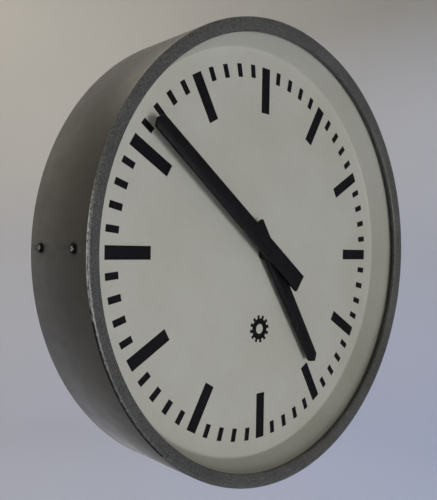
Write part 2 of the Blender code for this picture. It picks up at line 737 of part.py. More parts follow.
def build_frame(brass, steel, screw):
    outline = rectangle(-PLATE_HALF_WIDTH, PLATE_HALF_WIDTH, PLATE_LOW, PLATE_HIGH)
    corner = [circle(SMALL_SHANK_RADIUS + SHAFT_FIT, x, z, TINY_STEPS) for x, z in corner_points()]
    centre = circle(CENTRE_ARBOR_RADIUS + SHAFT_FIT)
    arbors = [circle(THIN_ARBOR_RADIUS + SHAFT_FIT, 0.0, z) for z in (INTERMEDIATE_Z, ROTOR_Z)]
    rail_holes = [circle(SMALL_SHANK_RADIUS + SHAFT_FIT, sign * RAIL_SCREW_X) for sign in (-1, 1)]
    stud = circle(THIN_ARBOR_RADIUS + SHAFT_FIT, MOTION_X)
    rear = plate("rear_plate", outline, [centre, *arbors, *rail_holes], REAR_PLATE_BACK, REAR_PLATE_TOP)
    front = plate(
        "front_plate", outline, [centre, stud, *arbors, *corner], FRONT_PLATE_BACK, FRONT_PLATE_TOP
    )
    place("rear_plate", rear, brass)
    place("front_plate", front, brass)
    low = REAR_PLATE_TOP + FIT
    high = FRONT_PLATE_BACK - FIT
    bore = SMALL_SHANK_RADIUS + SHAFT_FIT
    pillar = turned(
        "pillar",
        [
            (0.0, low),
            (PILLAR_RADIUS, low),
            (PILLAR_RADIUS, high),
            (bore, high),
            (bore, high - PILLAR_BORE_DEPTH),
            (0.0, high - PILLAR_BORE_DEPTH),
        ],
    )
    for i, (x, z) in enumerate(corner_points()):
        place(f"pillar_{i + 1}", pillar, brass, x=x, z=z)
        place(f"plate_screw_{i + 1}", screw, steel, x=x, z=z, depth=FRONT_PLATE_TOP + FIT)


# Electromagnet ---------------------------------------------------------------


def build_magnet(iron, plastic, copper):
    """A bar through the coil and two limbs that carry its field up to the pole faces beside the rotor."""
    back = ROTOR_BACK
    front = ROTOR_BACK + ROTOR_HEIGHT
    low = COIL_HEIGHT - CORE_HALF
    outer = LIMB_INNER + LIMB_WIDTH
    top = PILLAR_Z[1] + LIMB_WIDTH / 2
    reach = ROTOR_RADIUS + POLE_GAP
    spread = math.asin(POLE_HALF / reach)
    steps = 8
    bend = [spread - 2 * spread * k / steps for k in range(steps + 1)]
    face = [(reach * math.cos(a), ROTOR_Z + reach * math.sin(a)) for a in bend]
    right = [(outer, low), (outer, top), (LIMB_INNER, top), (LIMB_INNER, ROTOR_Z + POLE_HALF)]
    right += face
    right += [(LIMB_INNER, ROTOR_Z - POLE_HALF), (LIMB_INNER, low)]
    for sign, word in ((-1, "left"), (1, "right")):
        holes = [circle(PILLAR_RADIUS + FIT, sign * PILLAR_X, z) for z in PILLAR_Z]
        outline = [(sign * x, z) for x, z in right]
        place(f"pole_limb_{word}", plate(f"pole_limb_{word}", outline, holes, back, front), iron)
    end = LIMB_INNER - FIT
    bar = rectangle(-end, end, COIL_HEIGHT - CORE_HALF, COIL_HEIGHT + CORE_HALF)
    place("core_bar", plate("core_bar", bar, [], back, front), iron)

    half = end - FIT
    wall = BOBBIN_BORE + BOBBIN_WALL
    spool = [
        (BOBBIN_BORE, -half),
        (COIL_RADIUS, -half),
        (COIL_RADIUS, -half + COIL_CHEEK),
        (wall, -half + COIL_CHEEK),
        (wall, half - COIL_CHEEK),
        (COIL_RADIUS, half - COIL_CHEEK),
        (COIL_RADIUS, half),
        (BOBBIN_BORE, half),
    ]
    across = {"z": COIL_HEIGHT, "depth": CORE_DEPTH, "side": math.pi / 2}
    place("coil_bobbin", turned("coil_bobbin", spool), plastic, **across)
    wound = half - COIL_CHEEK - FIT
    winding = tube("coil_winding", wall + FIT, COIL_RADIUS - WINDING_INSET, -wound, wound)
    place("coil_winding", winding, copper, **across)


def build_terminals(plastic, brass, wire_material):
    wide, tall = TERMINAL_HALF
    back = PAN_SHEET + FIT
    top = back + TERMINAL_THICKNESS
    outline = rectangle(-wide, wide, TERMINAL_HEIGHT - tall, TERMINAL_HEIGHT + tall)
    threads = [
        circle(SMALL_SHANK_RADIUS + SHAFT_FIT, sign * TERMINAL_PITCH / 2, TERMINAL_HEIGHT)
        for sign in (-1, 1)
    ]
    place("terminal_block", plate("terminal_block", outline, threads, back, top), plastic)
    screw = slotted_screw(
        "terminal_screw",
        TERMINAL_HEAD_RADIUS,
        TERMINAL_HEAD_HEIGHT,
        SMALL_SHANK_RADIUS,
        TERMINAL_SHANK_LENGTH,
    )
    start_z = COIL_HEIGHT - COIL_RADIUS - WIRE_RADIUS - FIT
    end_z = TERMINAL_HEIGHT + TERMINAL_HEAD_RADIUS + FIT
    for sign, word in ((-1, "left"), (1, "right")):
        x = sign * TERMINAL_PITCH / 2
        place(f"terminal_screw_{word}", screw, brass, x=x, z=TERMINAL_HEIGHT, depth=top + FIT)
        start = Vector((sign * LEAD_START_X, -CORE_DEPTH, start_z))
        end = Vector((x, -(top + FIT + WIRE_RADIUS), end_z))
        lead_wire(f"lead_wire_{word}", start, end, wire_material)


def lead_wire(name, start, end, material):
    """A thin lead that leaves the coil downwards and comes down onto its terminal."""
    drop = Vector((0.0, 0.0, -LEAD_DROP))
    points = []
    for i in range(LEAD_STEPS + 1):
        t = i / LEAD_STEPS
        s = 1 - t
        point = s**3 * start + 3 * s * s * t * (start + drop) + 3 * s * t * t * (end - drop) + t**3 * end
        points.append(point)
    curve = bpy.data.curves.new(name, "CURVE")
    curve.dimensions = "3D"
    curve.bevel_depth = WIRE_RADIUS
    curve.bevel_resolution = 2
    curve.use_fill_caps = True
    spline = curve.splines.new("POLY")
    spline.points.add(LEAD_STEPS)
    for place_at, point in zip(spline.points, points):
        place_at.co = (*point, 1.0)
    curve.materials.append(material)
    thing = bpy.data.objects.new(name, curve)
    bpy.context.scene.collection.objects.link(thing)


# Train -----------------------------------------------------------------------


def arbor_with_pinion(name, material, z, pinion_back, pinion_front, phase, parent):
    low = REAR_PLATE_BACK + FIT
    high = FRONT_PLATE_TOP + PIVOT_PROUD
    arbor = place(name, rod(name, THIN_ARBOR_RADIUS, low, high), material, z=z, parent=parent)
    teeth = gear_outline(TRAIN_PINION_TEETH, TRAIN_MODULE, phase)
    tool = plate(f"{name}_teeth", teeth, [], pinion_back, pinion_front)
    combine(arbor, helper(f"{name}_teeth", tool, z=z), "UNION")


def gap_phase(teeth, contact):
    """Phase that puts a space, not a tooth, at the angle where the other wheel's tooth comes in."""
    return contact + math.pi / teeth


def build_train(steel, brass, magnet):
    """Rotor pinion drives the intermediate wheel, whose pinion drives the centre wheel: 30 turns to 1."""
    up = math.pi / 2
    down = -math.pi / 2
    wheel_level = ROTOR_BACK + ROTOR_HEIGHT + WHEEL_PLAY * TRAIN_SHARE
    wheel_top = wheel_level + WHEEL_SHEET
    centre_level = wheel_top + HUB_PLAY * TRAIN_SHARE
    centre_top = centre_level + WHEEL_SHEET

    rotor = axis_at("rotor_axis", z=ROTOR_Z)
    bore = THIN_ARBOR_RADIUS + SHAFT_FIT
    cylinder = tube("rotor_magnet", bore, ROTOR_RADIUS, ROTOR_BACK, ROTOR_BACK + ROTOR_HEIGHT, 24)
    place("rotor_magnet", cylinder, magnet, z=ROTOR_Z, parent=rotor)
    phase = gap_phase(TRAIN_PINION_TEETH, down)
    low = wheel_level - PINION_LAP
    high = wheel_top + PINION_LAP
    arbor_with_pinion("rotor_arbor", steel, ROTOR_Z, low, high, phase, rotor)

    intermediate = axis_at("intermediate_axis", z=INTERMEDIATE_Z)
    outline = gear_outline(INTERMEDIATE_TEETH, TRAIN_MODULE, up)
    rim = TRAIN_MODULE * INTERMEDIATE_TEETH / 2 - WHEEL_RIM
    holes = [circle(THIN_ARBOR_RADIUS + SHAFT_FIT), *wheel_windows(WHEEL_HUB, rim)]
    wheel = plate("intermediate_wheel", outline, holes, wheel_level, wheel_top)
    place("intermediate_wheel", wheel, brass, z=INTERMEDIATE_Z, parent=intermediate)
    low = centre_level - PINION_LAP
    high = centre_top + PINION_LAP
    arbor_with_pinion("intermediate_arbor", steel, INTERMEDIATE_Z, low, high, phase, intermediate)

    hands = axis_at("hands_axis")
    outline = gear_outline(CENTRE_TEETH, TRAIN_MODULE, up)
    rim = TRAIN_MODULE * CENTRE_TEETH / 2 - WHEEL_RIM
    holes = [circle(CENTRE_ARBOR_RADIUS + SHAFT_FIT), *wheel_windows(CENTRE_HUB, rim)]
    wheel = plate("centre_wheel", outline, holes, centre_level, centre_top)
    place("centre_wheel", wheel, brass, parent=hands)
    tip = MINUTE_FACE - HAND_SHEET - 3 * FIT
    arbor = rod("centre_arbor", CENTRE_ARBOR_RADIUS, REAR_PLATE_BACK + FIT, tip - FIT)
    place("centre_arbor", arbor, steel, parent=hands)
    return hands


# Motion work: 12 turns of the minute hand to 1 of the hour hand ----------------


def build_motion_work(steel, brass, hands):
    along = 0.0
    across = math.pi
    cannon_level = FRONT_PLATE_TOP + WHEEL_PLAY * MOTION_SHARE
    cannon_top = cannon_level + CANNON_LEAVES
    hour_level = cannon_top + HUB_PLAY * MOTION_SHARE
    hour_top = hour_level + WHEEL_SHEET
    bore = CENTRE_ARBOR_RADIUS + SHAFT_FIT
    tip = MINUTE_FACE - HAND_SHEET - 2 * FIT

    pipe = tube("cannon_pinion", bore, CANNON_PIPE_RADIUS, cannon_level, tip)
    cannon = place("cannon_pinion", pipe, steel, parent=hands)
    teeth = gear_outline(CANNON_TEETH, TRAIN_MODULE, along)
    sleeve = circle((bore + CANNON_PIPE_RADIUS) / 2)
    tool = plate("cannon_teeth", teeth, [sleeve], cannon_level + CANNON_PLAY, cannon_top)
    combine(cannon, helper("cannon_teeth", tool), "UNION")

    axis = axis_at("minute_wheel_axis", x=MOTION_X)
    stud_radius = THIN_ARBOR_RADIUS
    stud_top = hour_top + HUB_PLAY * MOTION_SHARE
    stud_head = [
        (0.0, FRONT_PLATE_BACK + FIT),
        (stud_radius, FRONT_PLATE_BACK + FIT),
        (stud_radius, stud_top),
        (stud_radius + STUD_HEAD, stud_top),
        (stud_radius + STUD_HEAD, stud_top + STUD_HEAD),
        (0.0, stud_top + STUD_HEAD),
    ]
    place("minute_wheel_stud", turned("minute_wheel_stud", stud_head), steel, x=MOTION_X)
    outline = gear_outline(MINUTE_WHEEL_TEETH, TRAIN_MODULE, gap_phase(MINUTE_WHEEL_TEETH, across))
    wheel_back = cannon_level + MOTION_PLAY
    hole = circle(stud_radius + SHAFT_FIT)
    mesh = plate("minute_wheel", outline, [hole], wheel_back, wheel_back + WHEEL_SHEET)
    wheel = place("minute_wheel", mesh, brass, x=MOTION_X, parent=axis)
    teeth = gear_outline(MINUTE_PINION_TEETH, MOTION_MODULE, gap_phase(MINUTE_PINION_TEETH, across))
    bore = stud_radius + SHAFT_FIT
    root = MOTION_MODULE * (MINUTE_PINION_TEETH / 2 - DEDENDUM)
    sleeve = circle((bore + root) / 2)
    pinion_back = wheel_back + WHEEL_SHEET / 2
    leaves_top = hour_top + PINION_LAP
    leaves = plate("minute_pinion_leaves", teeth, [sleeve], pinion_back, leaves_top)
    collar = tube(
        "minute_pinion_collar",
        bore + SHAFT_FIT / 2,
        (bore + 3 * root) / 4,
        wheel_back + WHEEL_SHEET / 4,
        leaves_top + CANNON_PLAY,
    )
    combine(wheel, helper("minute_pinion_leaves", leaves, x=MOTION_X), "UNION")
    combine(wheel, helper("minute_pinion_collar", collar, x=MOTION_X), "UNION")

    hour = axis_at("hour_axis")
    outline = gear_outline(HOUR_WHEEL_TEETH, MOTION_MODULE, along)
    pipe_bore = CANNON_PIPE_RADIUS + 2 * SHAFT_FIT
    sleeve = circle((pipe_bore + HOUR_PIPE_RADIUS) / 2)
    pipe_top = HOUR_FACE - HAND_SHEET - 2 * FIT
    pipe = tube("hour_wheel", pipe_bore, HOUR_PIPE_RADIUS, hour_level - CANNON_PLAY, pipe_top)
    wheel = place("hour_wheel", pipe, brass, parent=hour)
    disc = plate("hour_wheel_teeth", outline, [sleeve], hour_level, hour_top)
    combine(wheel, helper("hour_wheel_teeth", disc), "UNION")
    return hour


# Hands -----------------------------------------------------------------------


def hand_outline(length, tail, point, tip_half, tail_half):
    """A straight hand that points to 12: square tail, straight sides and a blunt roof-shaped tip."""
    return [
        (-tail_half, -tail),
        (tail_half, -tail),
        (tip_half, length),
        (0.0, length + point),
        (-tip_half, length),
    ]


def shrink(outline, distance):
    """The outline with each side moved in by the same distance; sides run anticlockwise."""
    count = len(outline)
    lines = []
    for i in range(count):
        start = Vector(outline[i])
        along = (Vector(outline[(i + 1) % count]) - start).normalized()
        lines.append((start + distance * Vector((-along.y, along.x)), along))
    corners = []
    for i in range(count):
        (first, first_way), (second, second_way) = lines[i - 1], lines[i]
        cross = first_way.x * second_way.y - first_way.y * second_way.x
        away = second - first
        reach = (away.x * second_way.y - away.y * second_way.x) / cross
        corners.append(tuple(first + reach * first_way))
    return corners


def folded_hand(name, outline, hole_radius, fold, face):
    """Sheet folded back all round: a shallow tray, open at the back, with a hole for the pipe."""
    inner = shrink(outline, HAND_SHEET)
    return tray(name, outline, inner, [circle(hole_radius)], face, face - fold, face - HAND_SHEET)


def build_hands(black, brass, hands, hour):
    outline = hand_outline(
        MINUTE_HAND_LENGTH, MINUTE_HAND_TAIL, MINUTE_HAND_POINT, MINUTE_TIP_HALF, MINUTE_TAIL_HALF
    )
    mesh = folded_hand("minute_hand", outline, MINUTE_NAIL_RADIUS, MINUTE_HAND_FOLD, MINUTE_FACE)
    place("minute_hand", mesh, black, parent=hands, turn=MINUTE_HAND_ANGLE)
    back = HOUR_FACE + HAND_SPACE
    bore = CANNON_PIPE_RADIUS + SHAFT_FIT
    bush = tube("minute_hand_bush", bore, MINUTE_BUSH_RADIUS, back, MINUTE_FACE - HAND_SHEET - FIT)
    place("minute_hand_bush", bush, brass, parent=hands)

    outline = hand_outline(HOUR_HAND_LENGTH, HOUR_HAND_TAIL, HOUR_HAND_POINT, HOUR_TIP_HALF, HOUR_TAIL_HALF)
    hole = CANNON_PIPE_RADIUS + 2 * SHAFT_FIT
    mesh = folded_hand("hour_hand", outline, hole, HOUR_HAND_FOLD, HOUR_FACE)
    place("hour_hand", mesh, black, parent=hour, turn=HOUR_HAND_ANGLE)
    front = HOUR_FACE - HAND_SHEET - FIT
    bore = HOUR_PIPE_RADIUS + SHAFT_FIT
    bush = tube("hour_hand_bush", bore, HOUR_BUSH_RADIUS, front - HOUR_BUSH_LENGTH, front)
    place("hour_hand_bush", bush, brass, parent=hour)


def main():
    clear_scene()
    drum_paint = finish("drum_hammer_enamel", "45443f", 0.45, 0.3)
    ring_paint = finish("ring_hammer_enamel", "50504d", 0.45, 0.3)
    pan_paint = finish("pan_grey_paint", "5c5c58", 0.6, 0.1)
    dial_enamel = finish("dial_cream_enamel", "a8a899", 0.5, 0.0)
    glass = finish("window_glass", "f2f6f4", 0.03, 0.0, alpha=0.2)
    rubber = finish("black_rubber", "191918", 0.85, 0.0)
    steel = finish("zinc_plated_steel", "8f9092", 0.35, 1.0)
    brass = finish("turned_brass", "b8954e", 0.3, 1.0)
    iron = finish("soft_iron", "5f5f60", 0.5, 1.0)
    magnet = finish("sintered_magnet", "3c3b3a", 0.6, 0.2)
    plastic = finish("brown_bakelite", "3a2418", 0.4, 0.0)
    copper = finish("varnished_copper_wire", "8a4a28", 0.35, 0.8)
    wire = finish("red_pvc_lead", "7d2a22", 0.5, 0.0)
    black = finish("hand_black_enamel", "131215", 0.5, 0.0)

    rear_bore = side_bore(REAR_SCREW_DEPTH)
    front_bore = side_bore(FRONT_SCREW_DEPTH)
    small_screw = slotted_screw(
        "small_screw", SMALL_HEAD_RADIUS, SMALL_HEAD_HEIGHT, SMALL_SHANK_RADIUS, SMALL_SHANK_LENGTH
    )
    build_drum(drum_paint, (rear_bore, front_bore))
    build_ring(ring_paint)
    build_glazing(glass, rubber)
    build_dial(dial_enamel)
    build_clips(steel)
    build_back(pan_paint, steel, rubber, rear_bore)
    build_side_fastenings(steel)
    build_rail(steel, front_bore, small_screw)
    build_frame(brass, steel, small_screw)
    build_magnet(iron, plastic, copper)
    build_terminals(plastic, brass, wire)
    hands = build_train(steel, brass, magnet)
    hour = build_motion_work(steel, brass, hands)
    build_hands(black, brass, hands, hour)


main()
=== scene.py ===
# %% [markdown]
# # A round secondary wall clock
#
# This notebook dresses the working model of an impulse clock: a deep drum of sheet steel, a glazed front
# ring, a dished dial with printed marks, and two folded hands that a small stepping movement turns.
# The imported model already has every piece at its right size. What it lacks is what the eye reads as
# real: edges with a radius, round shapes without flats, paint with a grain, a window that shines.
#
# Each step says what a piece is, how it could be made, and why it is made the way it is here.

# %% Load the working model
import json
import math

import bmesh
import bpy
from mathutils import Matrix, Vector


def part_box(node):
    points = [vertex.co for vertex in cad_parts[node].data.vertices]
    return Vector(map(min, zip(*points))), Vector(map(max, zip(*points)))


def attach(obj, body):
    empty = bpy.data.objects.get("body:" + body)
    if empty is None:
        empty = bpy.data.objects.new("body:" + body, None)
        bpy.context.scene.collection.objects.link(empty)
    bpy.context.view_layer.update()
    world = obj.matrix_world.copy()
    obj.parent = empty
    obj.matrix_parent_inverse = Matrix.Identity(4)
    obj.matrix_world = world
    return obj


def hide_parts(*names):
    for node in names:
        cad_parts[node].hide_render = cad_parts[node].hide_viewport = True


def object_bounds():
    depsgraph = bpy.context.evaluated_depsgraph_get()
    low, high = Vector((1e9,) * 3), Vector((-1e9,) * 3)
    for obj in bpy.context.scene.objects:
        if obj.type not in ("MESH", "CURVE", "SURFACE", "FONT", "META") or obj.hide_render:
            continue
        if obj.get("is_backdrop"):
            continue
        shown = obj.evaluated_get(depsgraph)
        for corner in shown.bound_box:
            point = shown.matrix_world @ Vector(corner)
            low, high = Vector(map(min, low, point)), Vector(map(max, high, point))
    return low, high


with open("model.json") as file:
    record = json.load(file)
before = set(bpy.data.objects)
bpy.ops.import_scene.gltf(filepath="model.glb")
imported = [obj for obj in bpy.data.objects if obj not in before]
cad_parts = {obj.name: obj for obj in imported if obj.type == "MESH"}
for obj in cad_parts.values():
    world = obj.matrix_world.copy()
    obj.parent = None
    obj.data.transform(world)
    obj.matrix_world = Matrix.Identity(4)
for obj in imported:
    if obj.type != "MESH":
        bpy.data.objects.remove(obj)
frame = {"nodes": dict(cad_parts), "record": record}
cad_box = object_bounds()
nodes = frame["nodes"]

# %% [markdown]
# ## Sizes
#
# Everything that can be read from the working model is read from it, so the new pieces land where the
# old ones are. A depth is a distance in front of the wall, so a point at depth d lies at y = -d. Only
# sizes that the model's boxes don't show, such as a corner's radius, are written here.

# %% Read the sizes that the working pieces give
MM = 0.001


def span(node):
    """Outer radius, rear depth and front depth of a round piece centred on the clock's axis."""
    low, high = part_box(node)
    return high.x, -high.y, -low.y


CASE_RADIUS, DRUM_REAR, DRUM_FRONT = span("case_drum")
RING_RADIUS, RING_REAR, RING_FRONT = span("front_ring")
GLASS_RADIUS, GLASS_REAR, GLASS_FRONT = span("glass")
GASKET_RADIUS, GASKET_REAR, GASKET_FRONT = span("glass_gasket")
DIAL_RADIUS, DIAL_REAR, DIAL_FRONT = span("dial")
PAN_RADIUS, PAN_REAR, PAN_FRONT = span("back_pan")
print(f"case {2000 * CASE_RADIUS:.0f} mm across and {1000 * RING_FRONT:.1f} mm deep")

# %% Sizes of sheet, folds and printed marks
SHEET = 1.2 * MM
FINE = 256  # sides of a large round piece
MEDIUM = 48  # sides of a screw head or a bush

RING_WIDTH = 11.6 * MM
RING_FALL = 2.7 * MM
RING_LIP = 2.5 * MM
LIP_FLARE = 0.3 * MM
EDGE_ROLL = 2.8 * MM  # the outer corner rolls over this width
SPIGOT_GAP = 1.5 * MM  # ring's skirt stands this far inside the drum's outside
OPENING = RING_RADIUS - RING_WIDTH
SEAM = DRUM_FRONT + 0.3 * MM
LIP_TOP = RING_FRONT - RING_FALL
LIP_END = LIP_TOP - RING_LIP

DIAL_SHEET = 0.8 * MM
DIAL_FACE = DIAL_REAR + DIAL_SHEET
DIAL_FLAT = OPENING - 6.4 * MM
DIAL_RIM_TOP = OPENING + 2.1 * MM
DIAL_HOLE = 5.5 * MM
print(f"opening {2000 * OPENING:.0f} mm, dial face at depth {1000 * DIAL_FACE:.1f} mm")

# %% [markdown]
# ## Modelling helpers
#
# Most of a clock case is round, so most of it could be turned. On a lathe a turner follows a profile;
# in Blender the Spin tool does the same: a chain of points is drawn once and swept round the axis.
# The alternative, a stack of cylinders, gives sharp steps where sheet metal has a smooth roll. So a
# helper draws a profile by extruding one point after another, closes it and spins it.


# %% Small tools for selecting
def only(piece):
    """Selects one object and nothing else, and makes it the active one."""
    bpy.ops.object.select_all(action="DESELECT")
    piece.select_set(True)
    bpy.context.view_layer.objects.active = piece


def pick(piece, kind, test):
    """In edit mode, selects the faces, edges or verts whose element passes the test, and counts them."""
    shape = bmesh.from_edit_mesh(piece.data)
    bpy.ops.mesh.select_all(action="DESELECT")
    bpy.context.tool_settings.mesh_select_mode = (kind == "verts", kind == "edges", kind == "faces")
    chosen = [element for element in getattr(shape, kind) if test(element)]
    for element in chosen:
        element.select_set(True)
    shape.select_flush_mode()
    bmesh.update_edit_mesh(piece.data)
    return len(chosen)


def centre_of(element):
    """Middle of an edge or a face."""
    points = [vert.co for vert in element.verts]
    return sum(points, Vector()) / len(points)


# %% Small tools for placing, modifying and finishing
def apply_place(piece):
    """Moves the object's place, turn and scale into its mesh, so that the object sits at the origin."""
    only(piece)
    bpy.ops.object.transform_apply(location=True, rotation=True, scale=True)


def modify(piece, kind, **settings):
    """Adds a modifier, sets it and applies it."""
    only(piece)
    modifier = piece.modifiers.new(kind.title(), kind)
    for key, value in settings.items():
        setattr(modifier, key, value)
    bpy.ops.object.modifier_apply(modifier=modifier.name)


def soften(piece, width, segments=2, angle=30.0):
    """Rounds every edge sharper than the angle, then shades the piece smooth between real edges."""
    modify(
        piece,
        "BEVEL",
        width=width,
        segments=segments,
        limit_method="ANGLE",
        angle_limit=math.radians(angle),
        harden_normals=False,
    )
    shade(piece)


def shade(piece):
    only(piece)
    bpy.ops.object.shade_smooth_by_angle(angle=math.radians(35.0))


# %% Small tools for cutting and joining
def cut(piece, cutter):
    """Cuts one piece with another, and takes the cutter away."""
    modify(piece, "BOOLEAN", operation="DIFFERENCE", object=cutter, solver="EXACT")
    bpy.data.objects.remove(cutter, do_unlink=True)


def joined(pieces, name):
    """Makes one object of several."""
    only(pieces[0])
    for piece in pieces[1:]:
        piece.select_set(True)
    bpy.ops.object.join()
    made = bpy.context.object
    made.name = made.data.name = name
    return made


def said(piece):
    print(f"{piece.name}: {len(piece.data.polygons)} faces")
    return piece


# %% The lathe: draw a profile, close it, spin it
def arc(radius_at, depth_at, size, start, end, steps=5):
    """Points along a round corner. Angles are in degrees, 0 outwards and 90 towards the front."""
    turns = [math.radians(start + (end - start) * k / steps) for k in range(steps + 1)]
    return [(radius_at + size * math.cos(a), depth_at + size * math.sin(a)) for a in turns]


def turned(name, profile, steps=FINE, closed=True):
    """A piece turned about the clock's axis from (radius, depth) points."""
    bpy.ops.object.select_all(action="DESELECT")
    radius, depth = profile[0]
    bpy.ops.mesh.primitive_plane_add(size=SHEET, location=(radius, -depth, 0.0))
    piece = bpy.context.object
    piece.name = piece.data.name = name
    apply_place(piece)
    bpy.ops.object.mode_set(mode="EDIT")
    # A lone point can only be selected in vertex mode, and without it nothing is extruded
    bpy.context.tool_settings.mesh_select_mode = (True, False, False)
    bpy.ops.mesh.select_all(action="SELECT")
    bpy.ops.mesh.merge(type="CENTER")
    for (radius_a, depth_a), (radius_b, depth_b) in zip(profile, profile[1:]):
        move = (radius_b - radius_a, depth_a - depth_b, 0.0)
        bpy.ops.mesh.extrude_region_move(TRANSFORM_OT_translate={"value": move})
    if closed:
        pick(piece, "verts", lambda vert: len(vert.link_edges) == 1)
        bpy.ops.mesh.edge_face_add()
    bpy.ops.mesh.select_all(action="SELECT")
    bpy.ops.mesh.spin(steps=steps, angle=2 * math.pi, center=(0.0, 0.0, 0.0), axis=(0.0, 1.0, 0.0))
    bpy.ops.mesh.select_all(action="SELECT")
    bpy.ops.mesh.remove_doubles(threshold=0.001 * MM)
    bpy.ops.mesh.normals_make_consistent(inside=False)
    bpy.ops.object.mode_set(mode="OBJECT")
    shade(piece)
    return piece


def drill(radius, start, end, steps=MEDIUM):
    """A round cutter between two points."""
    bpy.ops.object.select_all(action="DESELECT")
    along = Vector(end) - Vector(start)
    bpy.ops.mesh.primitive_cylinder_add(
        vertices=steps,
        radius=radius,
        depth=along.length,
        location=(Vector(start) + Vector(end)) / 2,
        rotation=along.to_track_quat("Z", "Y").to_euler(),
    )
    return bpy.context.object


def dress(piece, material, body, slot, *replaced):
    """Gives a finished piece its material, the body it moves with and the working pieces it stands for."""
    piece.data.materials.clear()
    piece.data.materials.append(material)
    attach(piece, body)
    if replaced:
        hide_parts(*replaced)


# %% [markdown]
# ## Material helpers
#
# A finish is a small graph of nodes: patterns at real sizes feed the colour, the roughness and a bump.
# One helper adds any node with its settings and its links, and hands back the output that comes next,
# so a graph reads from top to bottom. Inputs in a list go to the node's sockets in order: a Map Range
# takes its value, the range that the value comes from and the range that it goes to.


# %% Colours, pattern scales and the one node helper
def linear(hex_colour):
    """An sRGB hex colour as linear red, green, blue and alpha."""
    channels = [int(hex_colour[i : i + 2], 16) / 255 for i in (0, 2, 4)]
    straight = [c / 12.92 if c <= 0.04045 else ((c + 0.055) / 1.055) ** 2.4 for c in channels]
    return (*straight, 1.0)


def per(size_mm):
    """Noise scale for features of this size."""
    return 1.0 / (size_mm * MM)


def add(tree, kind, inputs=(), output=0, **settings):
    """Adds a node and returns one output. Inputs are sockets to link from, numbers or hex colours."""
    made = tree.nodes.new("ShaderNode" + kind)
    for key, value in settings.items():
        setattr(made, key, value)
    by_socket = inputs if isinstance(inputs, dict) else dict(enumerate(inputs))
    for key, value in by_socket.items():
        if isinstance(value, bpy.types.NodeSocket):
            tree.links.new(value, made.inputs[key])
        else:
            made.inputs[key].default_value = linear(value) if isinstance(value, str) else value
    return made.outputs[output]


# A Mix of colours takes its share in input 0 and its two colours in inputs 6 and 7
COLOURS = {"output": 2, "data_type": "RGBA"}


def blank(name, **shader_values):
    """A new material with its Principled shader, and the place of each point on the piece."""
    material = bpy.data.materials.new(name)
    material.use_nodes = True
    tree = material.node_tree
    shader = tree.nodes["Principled BSDF"]
    for key, value in shader_values.items():
        shader.inputs[key.replace("_", " ")].default_value = value
    return material, tree, shader, add(tree, "TexCoord", output="Object")


def link(tree, shader, **sockets):
    for key, value in sockets.items():
        tree.links.new(value, shader.inputs[key.replace("_", " ")])


# %% Where a point lies on the clock: its side, its depth, its height and its radius
def clock_place(tree, place):
    x, y, z = add(tree, "SeparateXYZ", [place]).node.outputs
    depth = add(tree, "Math", [y, -1.0], operation="MULTIPLY")
    across = add(tree, "Math", [x, x], operation="MULTIPLY")
    upward = add(tree, "Math", [z, z], operation="MULTIPLY")
    square = add(tree, "Math", [across, upward], operation="ADD")
    return x, depth, z, add(tree, "Math", [square], operation="SQRT")


# %% [markdown]
# ## Enamels
#
# The case is stoved enamel on sheet steel. The drum is nearly smooth: its colour drifts a little where
# hands and dust have been. The ring has a hammer finish: as it dries, the paint draws up into small
# dimples, which the eye reads as a fine light and dark speckle. Both are partly metallic, from the
# aluminium flake in the paint, so they brighten towards a lit edge. A painted texture could show this,
# but noise in the object's own space has no seams and stays sharp close up.


# %% Stoved enamel, shared by the painted pieces
DRIFT_MM = 90.0
GLOSS_MM = 14.0


def enamel(name, dark, light, grain_mm, grain_depth_mm, roughness, metallic, speckle=0.35):
    """Paint with slow drifts of tone, a fine grain and a broken gloss."""
    material, tree, shader, place = blank(name, Metallic=metallic)
    drift = add(tree, "TexNoise", {"Vector": place, "Scale": per(DRIFT_MM), "Detail": 3.0})
    grain_inputs = {"Vector": place, "Scale": per(grain_mm), "Detail": 1.5, "Roughness": 0.55}
    grain = add(tree, "TexNoise", grain_inputs)
    patches = add(tree, "TexNoise", {"Vector": place, "Scale": per(GLOSS_MM), "Detail": 4.0})
    share = add(tree, "MapRange", [drift, 0.35, 0.65, 0.0, 1.0])
    tone = add(tree, "Mix", {0: share, 6: dark, 7: light}, **COLOURS)
    share = add(tree, "MapRange", [grain, 0.3, 0.7, 0.0, 1.0])
    grey = add(tree, "Mix", {0: share, 6: "6e6e6e", 7: "ffffff"}, **COLOURS)
    tone = add(tree, "Mix", {0: speckle, 6: tone, 7: grey}, blend_type="MULTIPLY", **COLOURS)
    gloss = add(tree, "MapRange", [patches, 0.3, 0.7, roughness - 0.06, roughness + 0.08])
    normal = add(tree, "Bump", {"Height": grain, "Distance": grain_depth_mm * MM, "Strength": 0.5})
    link(tree, shader, Base_Color=tone, Roughness=gloss, Normal=normal)
    return material, tree, shader, place, tone


# %% Drum enamel: smooth dark grey, with painted shade round the side screws
SCREW_SHADE_INNER = 4.2 * MM
SCREW_SHADE_OUTER = 6.0 * MM
CHIP_MM = 9.0


